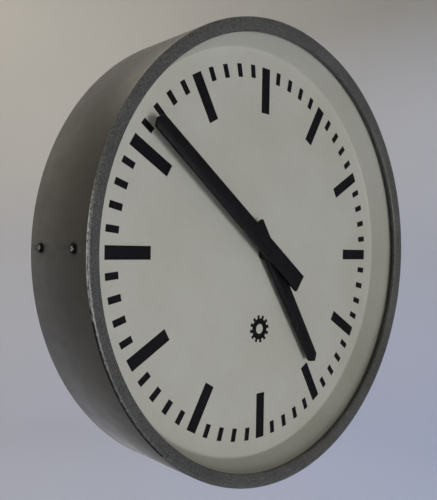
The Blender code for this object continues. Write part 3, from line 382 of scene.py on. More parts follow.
def make_drum_enamel():
    """Gives the eye a soft, dark, slightly warm grey with a broad satin gleam."""
    material, tree, shader, place, tone = enamel(
        "stoved_enamel_satin_grey", "524e44", "59554b", 2.4, 0.02, 0.42, 0.25, 0.12
    )
    shader.inputs["Sheen Weight"].default_value = 0.28
    shader.inputs["Sheen Roughness"].default_value = 0.35
    _, depth, z, _ = clock_place(tree, place)
    screws = [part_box(n) for n in nodes if n.startswith("side_screw_")]
    height = (screws[0][0].z + screws[0][1].z) / 2
    distances = []
    for level in sorted({round(-(low.y + high.y) / 2, 4) for low, high in screws}):
        rise = add(tree, "Math", [z, height], operation="SUBTRACT")
        rise = add(tree, "Math", [rise, 2.0], operation="POWER")
        along = add(tree, "Math", [depth, level], operation="SUBTRACT")
        along = add(tree, "Math", [along, 2.0], operation="POWER")
        square = add(tree, "Math", [rise, along], operation="ADD")
        distances.append(add(tree, "Math", [square], operation="SQRT"))
    nearest = add(tree, "Math", distances, operation="MINIMUM")
    wobble = add(tree, "TexNoise", {"Vector": place, "Scale": per(2.0)})
    wobble = add(tree, "MapRange", [wobble, 0.3, 0.7, -0.6 * MM, 0.6 * MM])
    ragged = add(tree, "Math", [nearest, wobble], operation="ADD")
    # Painted shade: a dark ring on the drum round each side screw
    screw_shade = add(tree, "MapRange", [ragged, SCREW_SHADE_INNER, SCREW_SHADE_OUTER, 0.75, 0.0])
    tone = add(tree, "Mix", {0: screw_shade, 6: tone, 7: "1d1b19"}, **COLOURS)
    chip_inputs = {"Vector": place, "Scale": per(CHIP_MM), "Detail": 6.0, "Roughness": 0.7}
    chips = add(tree, "TexNoise", chip_inputs)
    chips = add(tree, "MapRange", [chips, 0.71, 0.74, 0.0, 0.8])
    tone = add(tree, "Mix", {0: chips, 6: tone, 7: "2a2522"}, **COLOURS)
    link(tree, shader, Base_Color=tone)
    return material


# %% Ring enamel: hammer finish, worn bare with a painted highlight on its corner and rusted in one stretch of the seam
# Degrees round the dial from 3 o'clock, anticlockwise
BARE_AND_HIGHLIGHT_FROM, BARE_AND_HIGHLIGHT_TO = 165.0, 192.0
SEAM_RUST_FROM, SEAM_RUST_TO = 192.0, 225.0
RUST_END = 2.0  # degrees over which the rust fades out


def make_ring_enamel():
    """Gives the eye a mid grey that glitters in small dimples, with a lived-in edge and painted highlights
    on its corner.
    """
    material, tree, shader, place, tone = enamel(
        "hammer_enamel_grey", "646560", "72736e", 1.3, 0.05, 0.38, 0.3, 0.8
    )
    x, depth, z, radius = clock_place(tree, place)
    wobble = add(tree, "TexNoise", {"Vector": place, "Scale": per(3.0), "Detail": 4.0})
    wobble = add(tree, "MapRange", [wobble, 0.3, 0.7, -0.5 * MM, 0.5 * MM])
    outer = add(tree, "Math", [radius, wobble], operation="ADD")

    # Rubbed paint and a painted highlight on the corner, strongest at the two sides
    corner = add(tree, "MapRange", [outer, RING_RADIUS - 0.9 * MM, RING_RADIUS - 0.3 * MM, 0.0, 1.0])
    sideways = add(tree, "Math", [x], operation="ABSOLUTE")
    sideways = add(tree, "MapRange", [sideways, 0.88 * RING_RADIUS, 0.98 * RING_RADIUS, 0.0, 0.45])
    rub_and_highlight = add(tree, "Math", [corner, sideways], operation="MULTIPLY")
    tone = add(tree, "Mix", {0: rub_and_highlight, 6: tone, 7: "9a9b97"}, **COLOURS)

    # Angle round the dial, nought at 9 o'clock, with an uneven drift
    back_z = add(tree, "Math", [z, -1.0], operation="MULTIPLY")
    back_x = add(tree, "Math", [x, -1.0], operation="MULTIPLY")
    turn = add(tree, "Math", [back_z, back_x], operation="ARCTAN2")
    drift = add(tree, "TexNoise", {"Vector": place, "Scale": per(12.0), "Detail": 3.0})
    drift = add(tree, "MapRange", [drift, 0.3, 0.7, -0.05, 0.05])
    turn = add(tree, "Math", [turn, drift], operation="ADD")

    # Rust creeps out of the seam, on the ring's side only
    low, high = math.radians(SEAM_RUST_FROM - 180.0), math.radians(SEAM_RUST_TO - 180.0)
    soft = math.radians(RUST_END)
    rust = add(tree, "MapRange", [turn, low - soft, low, 0.0, 1.0])
    stop = add(tree, "MapRange", [turn, high, high + soft, 1.0, 0.0])
    side = add(tree, "MapRange", [radius, RING_RADIUS - 1.5 * MM, RING_RADIUS - 1.2 * MM, 0.0, 1.0])
    ragged = add(tree, "Math", [depth, wobble], operation="ADD")
    edge = add(tree, "MapRange", [ragged, SEAM + 0.9 * MM, SEAM + 1.5 * MM, 1.0, 0.0])
    for mask in (stop, side, edge):
        rust = add(tree, "Math", [rust, mask], operation="MULTIPLY")
    tone = add(tree, "Mix", {0: rust, 6: tone, 7: "160c0b"}, **COLOURS)

    # Bare metal and a painted highlight on the corner, brightest in the middle of its stretch
    first, last = math.radians(BARE_AND_HIGHLIGHT_FROM - 180.0), math.radians(BARE_AND_HIGHLIGHT_TO - 180.0)
    half_way = (first + last) / 2
    begin = add(tree, "MapRange", [turn, first, half_way, 0.0, 1.0])
    end = add(tree, "MapRange", [turn, half_way, last, 1.0, 0.0])
    bare_and_highlight = add(tree, "Math", [begin, end], operation="MULTIPLY")
    bare_and_highlight = add(tree, "MapRange", [bare_and_highlight, 0.0, 0.45, 0.0, 1.0])
    rim = add(tree, "MapRange", [outer, RING_RADIUS - 0.6 * MM, RING_RADIUS - 0.2 * MM, 0.0, 0.85])
    bare_and_highlight = add(tree, "Math", [bare_and_highlight, rim], operation="MULTIPLY")
    tone = add(tree, "Mix", {0: bare_and_highlight, 6: tone, 7: "dedcd6"}, **COLOURS)
    link(tree, shader, Base_Color=tone)
    return material


drum_enamel = make_drum_enamel()
ring_enamel = make_ring_enamel()
print("case enamels:", drum_enamel.name, ring_enamel.name)


# %% Pan, dial, hand and printed finishes
def make_dial_enamel():
    """Cream-white enamel, dead flat: gives the eye an even pale face that greys a little at the rim."""
    material, tree, shader, place, tone = enamel(
        "matt_enamel_cream", "c3c2b5", "cac9be", 3.0, 0.01, 0.5, 0.0, 0.05
    )
    radius = clock_place(tree, place)[3]
    # Greys towards the rim, from the edge of the flat face up the steep rim, in soft clouds
    rim_greying = add(tree, "MapRange", [radius, DIAL_FLAT, DIAL_RIM_TOP, 0.0, 0.08])
    cloud = add(tree, "TexNoise", {"Vector": place, "Scale": per(22.0), "Detail": 4.0})
    cloud = add(tree, "MapRange", [cloud, 0.35, 0.7, 0.5, 1.0])
    rim_greying = add(tree, "Math", [rim_greying, cloud], operation="MULTIPLY")
    tone = add(tree, "Mix", {0: rim_greying, 6: tone, 7: "aaa48d"}, **COLOURS)
    link(tree, shader, Base_Color=tone)
    return material


def make_hand_enamel():
    """Black enamel, satin: near black, with the odd pale fleck of dust."""
    material, tree, shader, place, tone = enamel(
        "satin_enamel_black", "0c0b0e", "100f13", 2.0, 0.015, 0.55, 0.0, 0.1
    )
    shader.inputs["Specular IOR Level"].default_value = 0.2
    fleck = add(tree, "TexVoronoi", {"Vector": place, "Scale": per(16.0)}, output="Distance")
    fleck = add(tree, "MapRange", [fleck, 0.02, 0.035, 0.5, 0.0])
    tone = add(tree, "Mix", {0: fleck, 6: tone, 7: "77736c"}, **COLOURS)
    link(tree, shader, Base_Color=tone)
    return material


def make_print():
    """Screen-printed black ink: flat, a little uneven in its gloss."""
    material, _, shader, _, _ = enamel(
        "screen_print_black", "0e0c10", "121015", 1.2, 0.01, 0.6, 0.0, 0.1
    )
    shader.inputs["Specular IOR Level"].default_value = 0.15
    return material


dial_enamel = make_dial_enamel()
hand_enamel = make_hand_enamel()
print_black = make_print()
pan_paint = enamel("primer_paint_grey", "5f605c", "6b6c67", 1.8, 0.03, 0.55, 0.15, 0.25)[0]
print("enamels:", dial_enamel.name, hand_enamel.name, print_black.name, pan_paint.name)

# %% [markdown]
# ## Glass, rubber and plastics
#
# The window is 3 mm float glass. Glass that bends light would be true to life, but it would stop the
# lamps' rays and leave the dial in the dark. A thin pane hardly bends what is seen through it, so this
# one lets light straight through and only mirrors some of it, more at a slant, as real glass does.


# %% Window glass
def make_window_glass():
    """Gives the eye a faint sheen over the dial and a green edge."""
    material, tree, shader, place = blank("float_glass_clear", Roughness=0.04, IOR=1.5)
    shader.inputs["Base Color"].default_value = linear("0c1411")
    mirror = add(tree, "LayerWeight", {"Blend": 0.5}, output="Facing")
    mirror = add(tree, "Math", [mirror, 4.0], operation="POWER")
    mirror = add(tree, "Math", [mirror, 0.4], operation="MULTIPLY")
    haze = add(tree, "TexNoise", {"Vector": place, "Scale": per(60.0), "Detail": 4.0})
    haze = add(tree, "MapRange", [haze, 0.3, 0.7, 0.004, 0.012])
    link(tree, shader, Alpha=add(tree, "Math", [mirror, haze], operation="ADD"))
    return material


# %% Rubber, bakelite, wire and lead
def make_plain(name, dark, light, size_mm, roughness, depth_mm):
    """A moulded or coated surface: two tones that drift, a fine bump and an uneven gloss."""
    return enamel(name, dark, light, size_mm, depth_mm, roughness, 0.0, 0.2)[0]


WIRE_RIDGE_MM = 0.7  # wire is 0.15 mm thick; the ridges are drawn coarser so that they show
WAVE_TURNS = 20  # a Wave texture makes about this many bands in one unit at scale 1


def make_winding():
    """Varnished copper wire in layers: gives the eye fine bright ridges round the coil."""
    material, tree, shader, place = blank("enamelled_copper_wire", Metallic=0.8)
    wave_scale = per(WIRE_RIDGE_MM) / WAVE_TURNS
    wave_inputs = {"Vector": place, "Scale": wave_scale, "Distortion": 0.4, "Detail": 1.0}
    ridges = add(tree, "TexWave", wave_inputs, output="Fac", wave_type="BANDS", bands_direction="X")
    share = add(tree, "MapRange", [ridges, 0.2, 0.8, 0.0, 1.0])
    tone = add(tree, "Mix", {0: share, 6: "5e2c17", 7: "a4623a"}, **COLOURS)
    patches = add(tree, "TexNoise", {"Vector": place, "Scale": per(5.0)})
    gloss = add(tree, "MapRange", [patches, 0.3, 0.7, 0.28, 0.42])
    normal = add(tree, "Bump", {"Height": ridges, "Distance": 0.12 * MM, "Strength": 1.0})
    link(tree, shader, Base_Color=tone, Roughness=gloss, Normal=normal)
    return material


window_glass = make_window_glass()
rubber = make_plain("epdm_rubber_black", "151514", "1d1d1b", 1.2, 0.82, 0.03)
dusty_rubber = make_plain("epdm_rubber_dusty", "4b4b48", "5a5a56", 1.2, 0.85, 0.03)
bakelite = make_plain("moulded_bakelite_brown", "33190f", "42241a", 4.0, 0.32, 0.01)
pvc_red = make_plain("pvc_insulation_red", "762019", "872b22", 3.0, 0.45, 0.01)
winding = make_winding()
print("coatings:", window_glass.name, rubber.name, bakelite.name, pvc_red.name, winding.name)

# %% [markdown]
# ## Metals
#
# Four metals show how they were made. Zinc plate has a soft mottle from the bath. Brass wheels and
# plates are turned or grained, so they have fine parallel lines. Laminated iron is ground flat, and the
# rotor's sintered magnet is dull and granular.


# %% Bare and plated metals
def make_metal(name, dark, light, mottle_mm, line_mm, roughness, depth_mm):
    """Metal with a slow mottle and fine lines; line_mm is the spacing of the tool marks."""
    material, tree, shader, place = blank(name, Metallic=1.0)
    mottle_inputs = {"Vector": place, "Scale": per(mottle_mm), "Detail": 4.0, "Roughness": 0.6}
    mottle = add(tree, "TexNoise", mottle_inputs)
    stretch = add(tree, "Mapping", {"Vector": place, "Scale": (1.0, 1.0, 0.04)})
    lines = add(tree, "TexNoise", {"Vector": stretch, "Scale": per(line_mm), "Detail": 1.0})
    share = add(tree, "MapRange", [mottle, 0.3, 0.7, 0.0, 1.0])
    tone = add(tree, "Mix", {0: share, 6: dark, 7: light}, **COLOURS)
    gloss = add(tree, "MapRange", [lines, 0.3, 0.7, roughness - 0.07, roughness + 0.1])
    normal = add(tree, "Bump", {"Height": lines, "Distance": depth_mm * MM, "Strength": 0.5})
    link(tree, shader, Base_Color=tone, Roughness=gloss, Normal=normal)
    return material


# Real tool marks are about 0.1 mm apart; they are drawn at 0.5 mm and more so that they show
zinc_steel = make_metal("zinc_plated_steel", "85878a", "a6a8aa", 6.0, 0.8, 0.32, 0.01)
brass = make_metal("grained_brass", "9a7a3a", "c9a45c", 9.0, 0.5, 0.3, 0.01)
iron = make_metal("ground_iron_laminations", "4c4c4e", "68686a", 5.0, 0.6, 0.45, 0.02)
magnet = make_metal("sintered_magnet_dull", "323130", "454443", 2.0, 1.0, 0.6, 0.03)
print("metals:", zinc_steel.name, brass.name, iron.name, magnet.name)


# %% Side screws: burnt black, worn bright with a painted glint in the middle where the driver slips
BARE_AND_HIGHLIGHT_SPOT = 1.2 * MM
BLACK_RIM = 2.1 * MM


def make_screw_finish(name, centre):
    """Blued steel: black at the rim, worn bright with a painted glint at the slot. The pattern is centred on
    one screw.
    """
    material, tree, shader, place = blank(name, Metallic=0.9)
    local = add(tree, "Mapping", {"Vector": place, "Location": [-c for c in centre]})
    away = add(tree, "VectorMath", [local], output="Value", operation="LENGTH")
    wobble = add(tree, "TexNoise", {"Vector": place, "Scale": per(1.2)})
    wobble = add(tree, "MapRange", [wobble, 0.3, 0.7, -0.5 * MM, 0.5 * MM])
    ragged = add(tree, "Math", [away, wobble], operation="ADD")
    # Worn bright, and a painted glint, in the middle of the head
    bare_and_highlight = add(tree, "MapRange", [ragged, BARE_AND_HIGHLIGHT_SPOT, BLACK_RIM, 1.0, 0.0])
    tone = add(tree, "Mix", {0: bare_and_highlight, 6: "1b1918", 7: "c9c6c1"}, **COLOURS)
    gloss = add(tree, "MapRange", [bare_and_highlight, 0.0, 1.0, 0.5, 0.25])
    normal = add(tree, "Bump", {"Height": ragged, "Distance": 0.02 * MM, "Strength": 0.3})
    link(tree, shader, Base_Color=tone, Roughness=gloss, Normal=normal)
    return material


# %% [markdown]
# ## Finishes for the working pieces
#
# The movement, the clips and the fasteners already have their right shape, so they stay as they are and
# only get a finish. The record gives each piece a material slot, and one table says which finish goes
# with which slot, so that a new piece in a known slot would be dressed by itself.

# %% Dress the working pieces that stay
BY_SLOT = {
    "drum_enamel": drum_enamel,
    "ring_enamel": ring_enamel,
    "pan_paint": pan_paint,
    "dial_enamel": dial_enamel,
    "hand_enamel": hand_enamel,
    "window_glass": window_glass,
    "black_rubber": rubber,
    "zinc_steel": zinc_steel,
    "dark_screw": zinc_steel,
    "brass": brass,
    "soft_iron": iron,
    "magnet": magnet,
    "bakelite": bakelite,
    "coil_wire": winding,
    "lead": pvc_red,
}
for row in frame["record"]["subparts"]:
    nodes[row["node"]].material_slots[0].material = BY_SLOT[row["material_slot"]]
for node in ("minute_hand_bush", "hour_hand_bush"):
    nodes[node].material_slots[0].material = hand_enamel  # painted together with its hand
print(f"{len(nodes)} working pieces have a finish")

# %% [markdown]
# ## Drum
#
# The drum is a strip of sheet steel rolled into a hoop and welded. A tube with a wall could be drawn as
# two cylinders; here one open cylinder gets its wall from Solidify, which keeps the thickness true.
# Drills cut the four screw holes, and a small bevel gives the cut edges the burr-free roll of real sheet.

# %% Roll the drum and drill it
bpy.ops.object.select_all(action="DESELECT")
bpy.ops.mesh.primitive_cylinder_add(
    vertices=FINE,
    radius=CASE_RADIUS,
    depth=DRUM_FRONT - DRUM_REAR,
    end_fill_type="NOTHING",
    location=(0.0, -(DRUM_FRONT + DRUM_REAR) / 2, 0.0),
    rotation=(math.pi / 2, 0.0, 0.0),
)
drum = bpy.context.object
drum.name = drum.data.name = "drum_shell"
apply_place(drum)
modify(drum, "SOLIDIFY", thickness=SHEET, offset=-1.0)

SCREW_HOLE = 2.2 * MM
REACH = 1.1 * CASE_RADIUS  # a drill this long each way comes out of both sides
side_screws = sorted(n for n in nodes if n.startswith("side_screw_"))
screw_depths = sorted({round(-(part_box(n)[0].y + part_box(n)[1].y) / 2, 5) for n in side_screws})
screw_height = (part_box(side_screws[0])[0].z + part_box(side_screws[0])[1].z) / 2
for depth in screw_depths:
    cut(drum, drill(SCREW_HOLE, (-REACH, -depth, screw_height), (REACH, -depth, screw_height)))
soften(drum, 0.3 * MM)
dress(drum, drum_enamel, "case", "drum_enamel", "case_drum")
said(drum)

# %% [markdown]
# ## Front ring
#
# The ring is spun from sheet: a face that leans in towards the glass, a rolled outer corner, a lip that
# turns back round the window and a skirt that slides into the drum. It is one profile, so it is turned.
# The corner's roll matters most, because that is where the light draws a thin line round the clock.

# %% Turn the ring
ROLL_STEPS = 9
skirt_outer = RING_RADIUS - SPIGOT_GAP
skirt_inner = skirt_outer - SHEET
lean = math.degrees(math.atan2(RING_FALL, RING_WIDTH - EDGE_ROLL))
roll = [math.pi / 2 * k / ROLL_STEPS for k in range(ROLL_STEPS + 1)]
ring_profile = [
    *[
        (RING_RADIUS - EDGE_ROLL * (1 - math.cos(a)), SEAM + (RING_FRONT - SEAM) * math.sin(a))
        for a in roll
    ],
    *arc(OPENING + 1.2 * MM, LIP_TOP - 0.9 * MM, 1.2 * MM, 90.0 + lean, 205.0, 6),
    (OPENING + LIP_FLARE, LIP_END),
    (OPENING + LIP_FLARE + SHEET, LIP_END),
    (OPENING + 2 * SHEET, LIP_TOP - SHEET),
    (skirt_inner, SEAM - SHEET),
    (skirt_inner, RING_REAR),
    (skirt_outer, RING_REAR),
    (skirt_outer, SEAM),
]
ring = turned("front_bezel", ring_profile)
dress(ring, ring_enamel, "case", "ring_enamel", "front_ring")
said(ring)

# %% [markdown]
# ## Window and gasket
#
# The pane is a disc of float glass with its sharp edge ground off. The gasket between it and the ring
# is a flat rubber strip, grey with dust, which shows as a thin dark line inside the lip.

# %% Turn the pane and the gasket
GROUND_EDGE = 0.6 * MM
pane_profile = [
    (0.0, GLASS_REAR),
    (GLASS_RADIUS - GROUND_EDGE, GLASS_REAR),
    (GLASS_RADIUS, GLASS_REAR + GROUND_EDGE),
    (GLASS_RADIUS, GLASS_FRONT - GROUND_EDGE),
    (GLASS_RADIUS - GROUND_EDGE, GLASS_FRONT),
    (0.0, GLASS_FRONT),
]
pane = turned("window_pane", pane_profile, closed=False)
dress(pane, window_glass, "case", "window_glass", "glass")

gasket_inner = OPENING + LIP_FLARE
middle = (GASKET_REAR + GASKET_FRONT) / 2
half = (GASKET_FRONT - GASKET_REAR) / 2
gasket_profile = [
    *arc(GASKET_RADIUS - half, middle, half, -90.0, 90.0, 6),
    *arc(gasket_inner + half, middle, half, 90.0, 270.0, 6),
]
gasket = turned("gasket_strip", gasket_profile)
dress(gasket, dusty_rubber, "case", "black_rubber", "glass_gasket")
said(pane)
said(gasket)

# %% [markdown]
# ## Dial
#
# The dial is pressed like a shallow cake tin: a flat face, a steep rim that comes up to the glass and a
# flange the clips hold. The press leaves a soft fillet where the face turns up into the rim, and it
# catches a band of light, so the fillet is drawn as an arc and not as a bevel of one step.

# %% Turn the dial
FILLET = 2.6 * MM
slope = math.degrees(math.atan2(DIAL_FRONT - DIAL_FACE, DIAL_RIM_TOP - DIAL_FLAT))
foot = FILLET * math.tan(math.radians(slope / 2))
top_roll = 1.2 * MM
head = top_roll * math.tan(math.radians(slope / 2))
dial_profile = [
    (DIAL_HOLE, DIAL_REAR),
    (DIAL_FLAT + DIAL_SHEET, DIAL_REAR),
    (DIAL_RIM_TOP + DIAL_SHEET, DIAL_FRONT - DIAL_SHEET),
    (DIAL_RADIUS, DIAL_FRONT - DIAL_SHEET),
    (DIAL_RADIUS, DIAL_FRONT),
    *arc(DIAL_RIM_TOP + head, DIAL_FRONT - top_roll, top_roll, 90.0, 90.0 + slope, 4),
    *arc(DIAL_FLAT - foot, DIAL_FACE + FILLET, FILLET, slope - 90.0, -90.0, 8),
    (DIAL_HOLE, DIAL_FACE),
]
dial = turned("dial_dish", dial_profile)
dress(dial, dial_enamel, "case", "dial_enamel", "dial")
said(dial)

# %% [markdown]
# ## Printed marks
#
# Forty-eight short bars and twelve long ones are screen printed on the face. They could be painted by
# the dial's material, but an edge drawn by geometry stays crisp at any distance. One bar of each kind is
# modelled and copied round the dial. Ink stands a little proud, with a slightly rounded top edge.

# %% Print the minute and hour bars
INK = 0.09 * MM
INK_EDGE = 0.12 * MM
MINUTE_BAR = (5.8 * MM, 165.3 * MM, 177.3 * MM)  # width, inner end, outer end
HOUR_BAR = (11.0 * MM, 134.0 * MM, 177.0 * MM)


def one_bar(width, inner, outer):
    """One bar at 12 o'clock: a flat block whose front face is drawn in a little all round."""
    bpy.ops.object.select_all(action="DESELECT")
    bpy.ops.mesh.primitive_cube_add(size=1.0, location=(0.0, -DIAL_FACE, (inner + outer) / 2))
    bar = bpy.context.object
    bar.scale = (width, 2 * INK, outer - inner)
    apply_place(bar)
    bpy.ops.object.mode_set(mode="EDIT")
    pick(bar, "faces", lambda face: face.normal.y < -0.9)
    bpy.ops.mesh.inset(thickness=INK_EDGE, depth=INK / 3)
    bpy.ops.object.mode_set(mode="OBJECT")
    return bar


def round_the_dial(bar, minutes, name):
    """Copies a bar to each of these minutes, each copy with its own mesh, and joins them."""
    copies = []
    for minute in minutes:
        copy = bar.copy()
        copy.data = bar.data.copy()
        bpy.context.scene.collection.objects.link(copy)
        copy.data.transform(Matrix.Rotation(2 * math.pi * minute / 60, 4, "Y"))
        copies.append(copy)
    bpy.data.objects.remove(bar, do_unlink=True)
    return joined(copies, name)


short_bars = [minute for minute in range(60) if minute % 5]
long_bars = [minute for minute in range(60) if not minute % 5]
for name, size, minutes in (("minute_bars", MINUTE_BAR, short_bars), ("hour_bars", HOUR_BAR, long_bars)):
    bars = round_the_dial(one_bar(*size), minutes, name)
    dress(bars, print_black, "case", "dial_enamel")
    said(bars)

# %% [markdown]
# ## A plain mark on the dial
#
# Below the centre such a dial carries its maker's sign. This one has a plain cog wheel, which says
# clockwork and no more. It starts as a disc; its middle is inset and taken out, and every other edge
# is drawn out into a tooth.

# %% Print the cog
COG_HEIGHT = -72.0 * MM
COG_SIDE = -3.0 * MM
COG_ROOT = 10.2 * MM
COG_TIP = 13.2 * MM
COG_RIM = 5.4 * MM
COG_TEETH = 12

bpy.ops.object.select_all(action="DESELECT")
bpy.ops.mesh.primitive_circle_add(
    vertices=2 * COG_TEETH, radius=COG_ROOT, fill_type="NGON", rotation=(math.pi / 2, 0.0, 0.0)
)
cog = bpy.context.object
cog.name = cog.data.name = "cog_mark"
apply_place(cog)
bpy.ops.object.mode_set(mode="EDIT")
bpy.ops.mesh.select_all(action="SELECT")
bpy.ops.mesh.inset(thickness=COG_RIM)
pick(cog, "faces", lambda face: len(face.verts) == 2 * COG_TEETH)
bpy.ops.mesh.delete(type="FACE")


def tooth_edge(edge):
    """True for every other edge of the cog's outside."""
    if not edge.is_boundary or centre_of(edge).length < COG_ROOT * 0.9:
        return False
    middle = centre_of(edge)
    turn = math.atan2(middle.z, middle.x) / (math.pi / COG_TEETH)
    return math.floor(turn) % 2 == 0


pick(cog, "edges", tooth_edge)
bpy.ops.mesh.extrude_edges_move()
grow = COG_TIP / COG_ROOT
bpy.ops.transform.resize(value=(grow, grow, grow), center_override=(0.0, 0.0, 0.0))
bpy.ops.mesh.select_all(action="SELECT")
bpy.ops.mesh.extrude_region_move(TRANSFORM_OT_translate={"value": (0.0, -2 * INK, 0.0)})
bpy.ops.mesh.select_all(action="SELECT")
bpy.ops.mesh.normals_make_consistent(inside=False)
bpy.ops.object.mode_set(mode="OBJECT")
cog.location = (COG_SIDE, -(DIAL_FACE - INK), COG_HEIGHT)
apply_place(cog)
dress(cog, print_black, "case", "dial_enamel")
said(cog)

# %% [markdown]
# ## Hands
#
# Each hand is a strip of sheet with its edges folded back, which keeps a long thin pointer stiff. It
# starts as a flat plane, tapered at the tip, with the tip's edge split and drawn out to a low roof.
# The plane is extruded back for the folds and opened behind; Solidify makes it sheet, and a bevel rolls
# the folds. Cutting a solid block instead would leave no shadow line under the edge.

# %% Fold the hands
HAND_SHEET = 0.8 * MM
FOLD_ROLL = 0.45 * MM
MINUTE_TURN = math.radians(306.9)  # clockwise from 12 o'clock
HOUR_TURN = math.radians(146.7)
HOUR_BORE = 2.9 * MM


def folded_hand(name, node, length, tail, point, tip_half, tail_half, bore, turn):
    """A folded hand that reads its front face and its fold from the working piece."""
    low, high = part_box(node)
    bpy.ops.object.select_all(action="DESELECT")
    bpy.ops.mesh.primitive_plane_add(size=1.0, rotation=(math.pi / 2, 0.0, 0.0))
    hand = bpy.context.object
    hand.name = hand.data.name = name
    hand.scale = (2 * tail_half, length + tail, 1.0)
    hand.location = (0.0, low.y, (length - tail) / 2)
    apply_place(hand)
    bpy.ops.object.mode_set(mode="EDIT")
    pick(hand, "edges", lambda edge: centre_of(edge).z > length * 0.99)
    taper = tip_half / tail_half
    bpy.ops.transform.resize(value=(taper, 1.0, 1.0))
    bpy.ops.mesh.subdivide(number_cuts=1)
    pick(hand, "verts", lambda vert: vert.co.z > length * 0.99 and abs(vert.co.x) < tip_half / 2)
    bpy.ops.transform.translate(value=(0.0, 0.0, point))
    bpy.ops.mesh.select_all(action="SELECT")
    bpy.ops.mesh.extrude_region_move(TRANSFORM_OT_translate={"value": (0.0, high.y - low.y, 0.0)})
    bpy.ops.mesh.select_all(action="SELECT")
    bpy.ops.mesh.normals_make_consistent(inside=False)
    pick(hand, "faces", lambda face: face.normal.y > 0.9)
    bpy.ops.mesh.delete(type="FACE")
    bpy.ops.object.mode_set(mode="OBJECT")
    modify(hand, "SOLIDIFY", thickness=HAND_SHEET, offset=-1.0, use_even_offset=True)
    cut(hand, drill(bore, (0.0, low.y - SHEET, 0.0), (0.0, high.y + SHEET, 0.0)))
    soften(hand, FOLD_ROLL, 3)
    hand.rotation_euler = (0.0, turn, 0.0)
    apply_place(hand)
    return hand


minute_blade = folded_hand(
    "minute_blade", "minute_hand", 172.0 * MM, 49.0 * MM, 3.0 * MM, 6.5 * MM, 9.1 * MM, 0.8 * MM, MINUTE_TURN
)
hour_blade = folded_hand(
    "hour_blade", "hour_hand", 127.5 * MM, 33.5 * MM, 5.0 * MM, 6.1 * MM, 8.2 * MM, HOUR_BORE, HOUR_TURN
)
dress(minute_blade, hand_enamel, "minute_group", "hand_enamel", "minute_hand")
dress(hour_blade, hand_enamel, "hour_group", "hand_enamel", "hour_hand")
said(minute_blade)
said(hour_blade)

# %% Turn the collar that the hour hand is riveted to
COLLAR_RADIUS = 6.4 * MM
COLLAR_ROLL = 0.6 * MM
COLLAR_GAP = 1.2 * MM  # air between the collar and the dial
hour_back = -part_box("hour_hand")[1].y
collar_rear = DIAL_FACE + COLLAR_GAP
collar_front = hour_back + HAND_SHEET
collar_profile = [
    (HOUR_BORE, collar_rear),
    *arc(COLLAR_RADIUS - COLLAR_ROLL, collar_rear + COLLAR_ROLL, COLLAR_ROLL, -90.0, 0.0, 4),
    (COLLAR_RADIUS, collar_front),
    (HOUR_BORE, collar_front),
]
hour_collar = turned("hour_collar", collar_profile, MEDIUM)
dress(hour_collar, hand_enamel, "hour_group", "hand_enamel", "hour_hand_bush")
said(hour_collar)

# %% [markdown]
# ## Side screws
#
# Four cheese-head screws hold the drum, two on each side. A head could be a plain cylinder with a slot,
# but its domed top is what glints. The head starts as a cylinder, its outer face is inset and pushed
# out for the dome, a thin blade cuts the slot, and a bevel softens what is left.

# %% Model one screw, then set the four in place
HEAD_RADIUS = 3.8 * MM
HEAD_HEIGHT = 1.5 * MM
SHANK_RADIUS = 1.9 * MM
SHANK_LENGTH = 9.0 * MM
SLOT_TURNS = {"rear_left": 40.0, "front_left": 80.0, "rear_right": 60.0, "front_right": 10.0}


def side_bolt(name, node, slot_turn):
    """One screw whose head lies against the drum, on whichever side the working screw is."""
    low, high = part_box(node)
    side = 1.0 if high.x > 0 else -1.0
    seat = max(abs(low.x), abs(high.x)) - HEAD_HEIGHT
    bpy.ops.object.select_all(action="DESELECT")
    bpy.ops.mesh.primitive_cylinder_add(
        vertices=MEDIUM, radius=HEAD_RADIUS, depth=HEAD_HEIGHT * 0.6, location=(0.0, 0.0, HEAD_HEIGHT * 0.3)
    )
    bolt = bpy.context.object
    bolt.name = bolt.data.name = name
    apply_place(bolt)
    bpy.ops.object.mode_set(mode="EDIT")
    pick(bolt, "faces", lambda face: face.normal.z > 0.9)
    for inset, rise in ((0.9 * MM, 0.28), (0.9 * MM, 0.1)):
        bpy.ops.mesh.inset(thickness=inset)
        bpy.ops.transform.translate(value=(0.0, 0.0, HEAD_HEIGHT * rise))
    pick(bolt, "faces", lambda face: face.normal.z < -0.9)
    bpy.ops.mesh.inset(thickness=HEAD_RADIUS - SHANK_RADIUS)
    bpy.ops.mesh.extrude_region_move(TRANSFORM_OT_translate={"value": (0.0, 0.0, -SHANK_LENGTH)})
    bpy.ops.object.mode_set(mode="OBJECT")
    bpy.ops.object.select_all(action="DESELECT")
    bpy.ops.mesh.primitive_cube_add(size=1.0, location=(0.0, 0.0, HEAD_HEIGHT))
    blade = bpy.context.object
    blade.scale = (3 * HEAD_RADIUS, HEAD_RADIUS * 0.28, HEAD_HEIGHT)
    apply_place(blade)
    cut(bolt, blade)
    soften(bolt, 0.12 * MM)
    bolt.data.transform(Matrix.Rotation(math.radians(slot_turn), 4, "Z"))
    bolt.data.transform(Matrix.Rotation(side * math.pi / 2, 4, "Y"))
    place = Vector((side * seat, (low.y + high.y) / 2, (low.z + high.z) / 2))
    bolt.data.transform(Matrix.Translation(place))
    return bolt, place + Vector((side * HEAD_HEIGHT, 0.0, 0.0))


for node in side_screws:
    where = node.removeprefix("side_screw_")
    bolt, tip = side_bolt(f"side_bolt_{where}", node, SLOT_TURNS[where])
    finish = make_screw_finish(f"blued_steel_{where}", tip)
    dress(bolt, finish, "case", "dark_screw", node)
    said(bolt)

# %% [markdown]
# ## Back cover and cable bush
#
# The back is a shallow pan of the same sheet, with its edge folded forward inside the drum. It starts
# as a cylinder with no front, gets its wall from Solidify, and its keyhole is three cuts: a round hole,
# a round slot end and the slot between them. The rim's fold is bevelled before the holes are cut, so
# the fold runs round evenly.

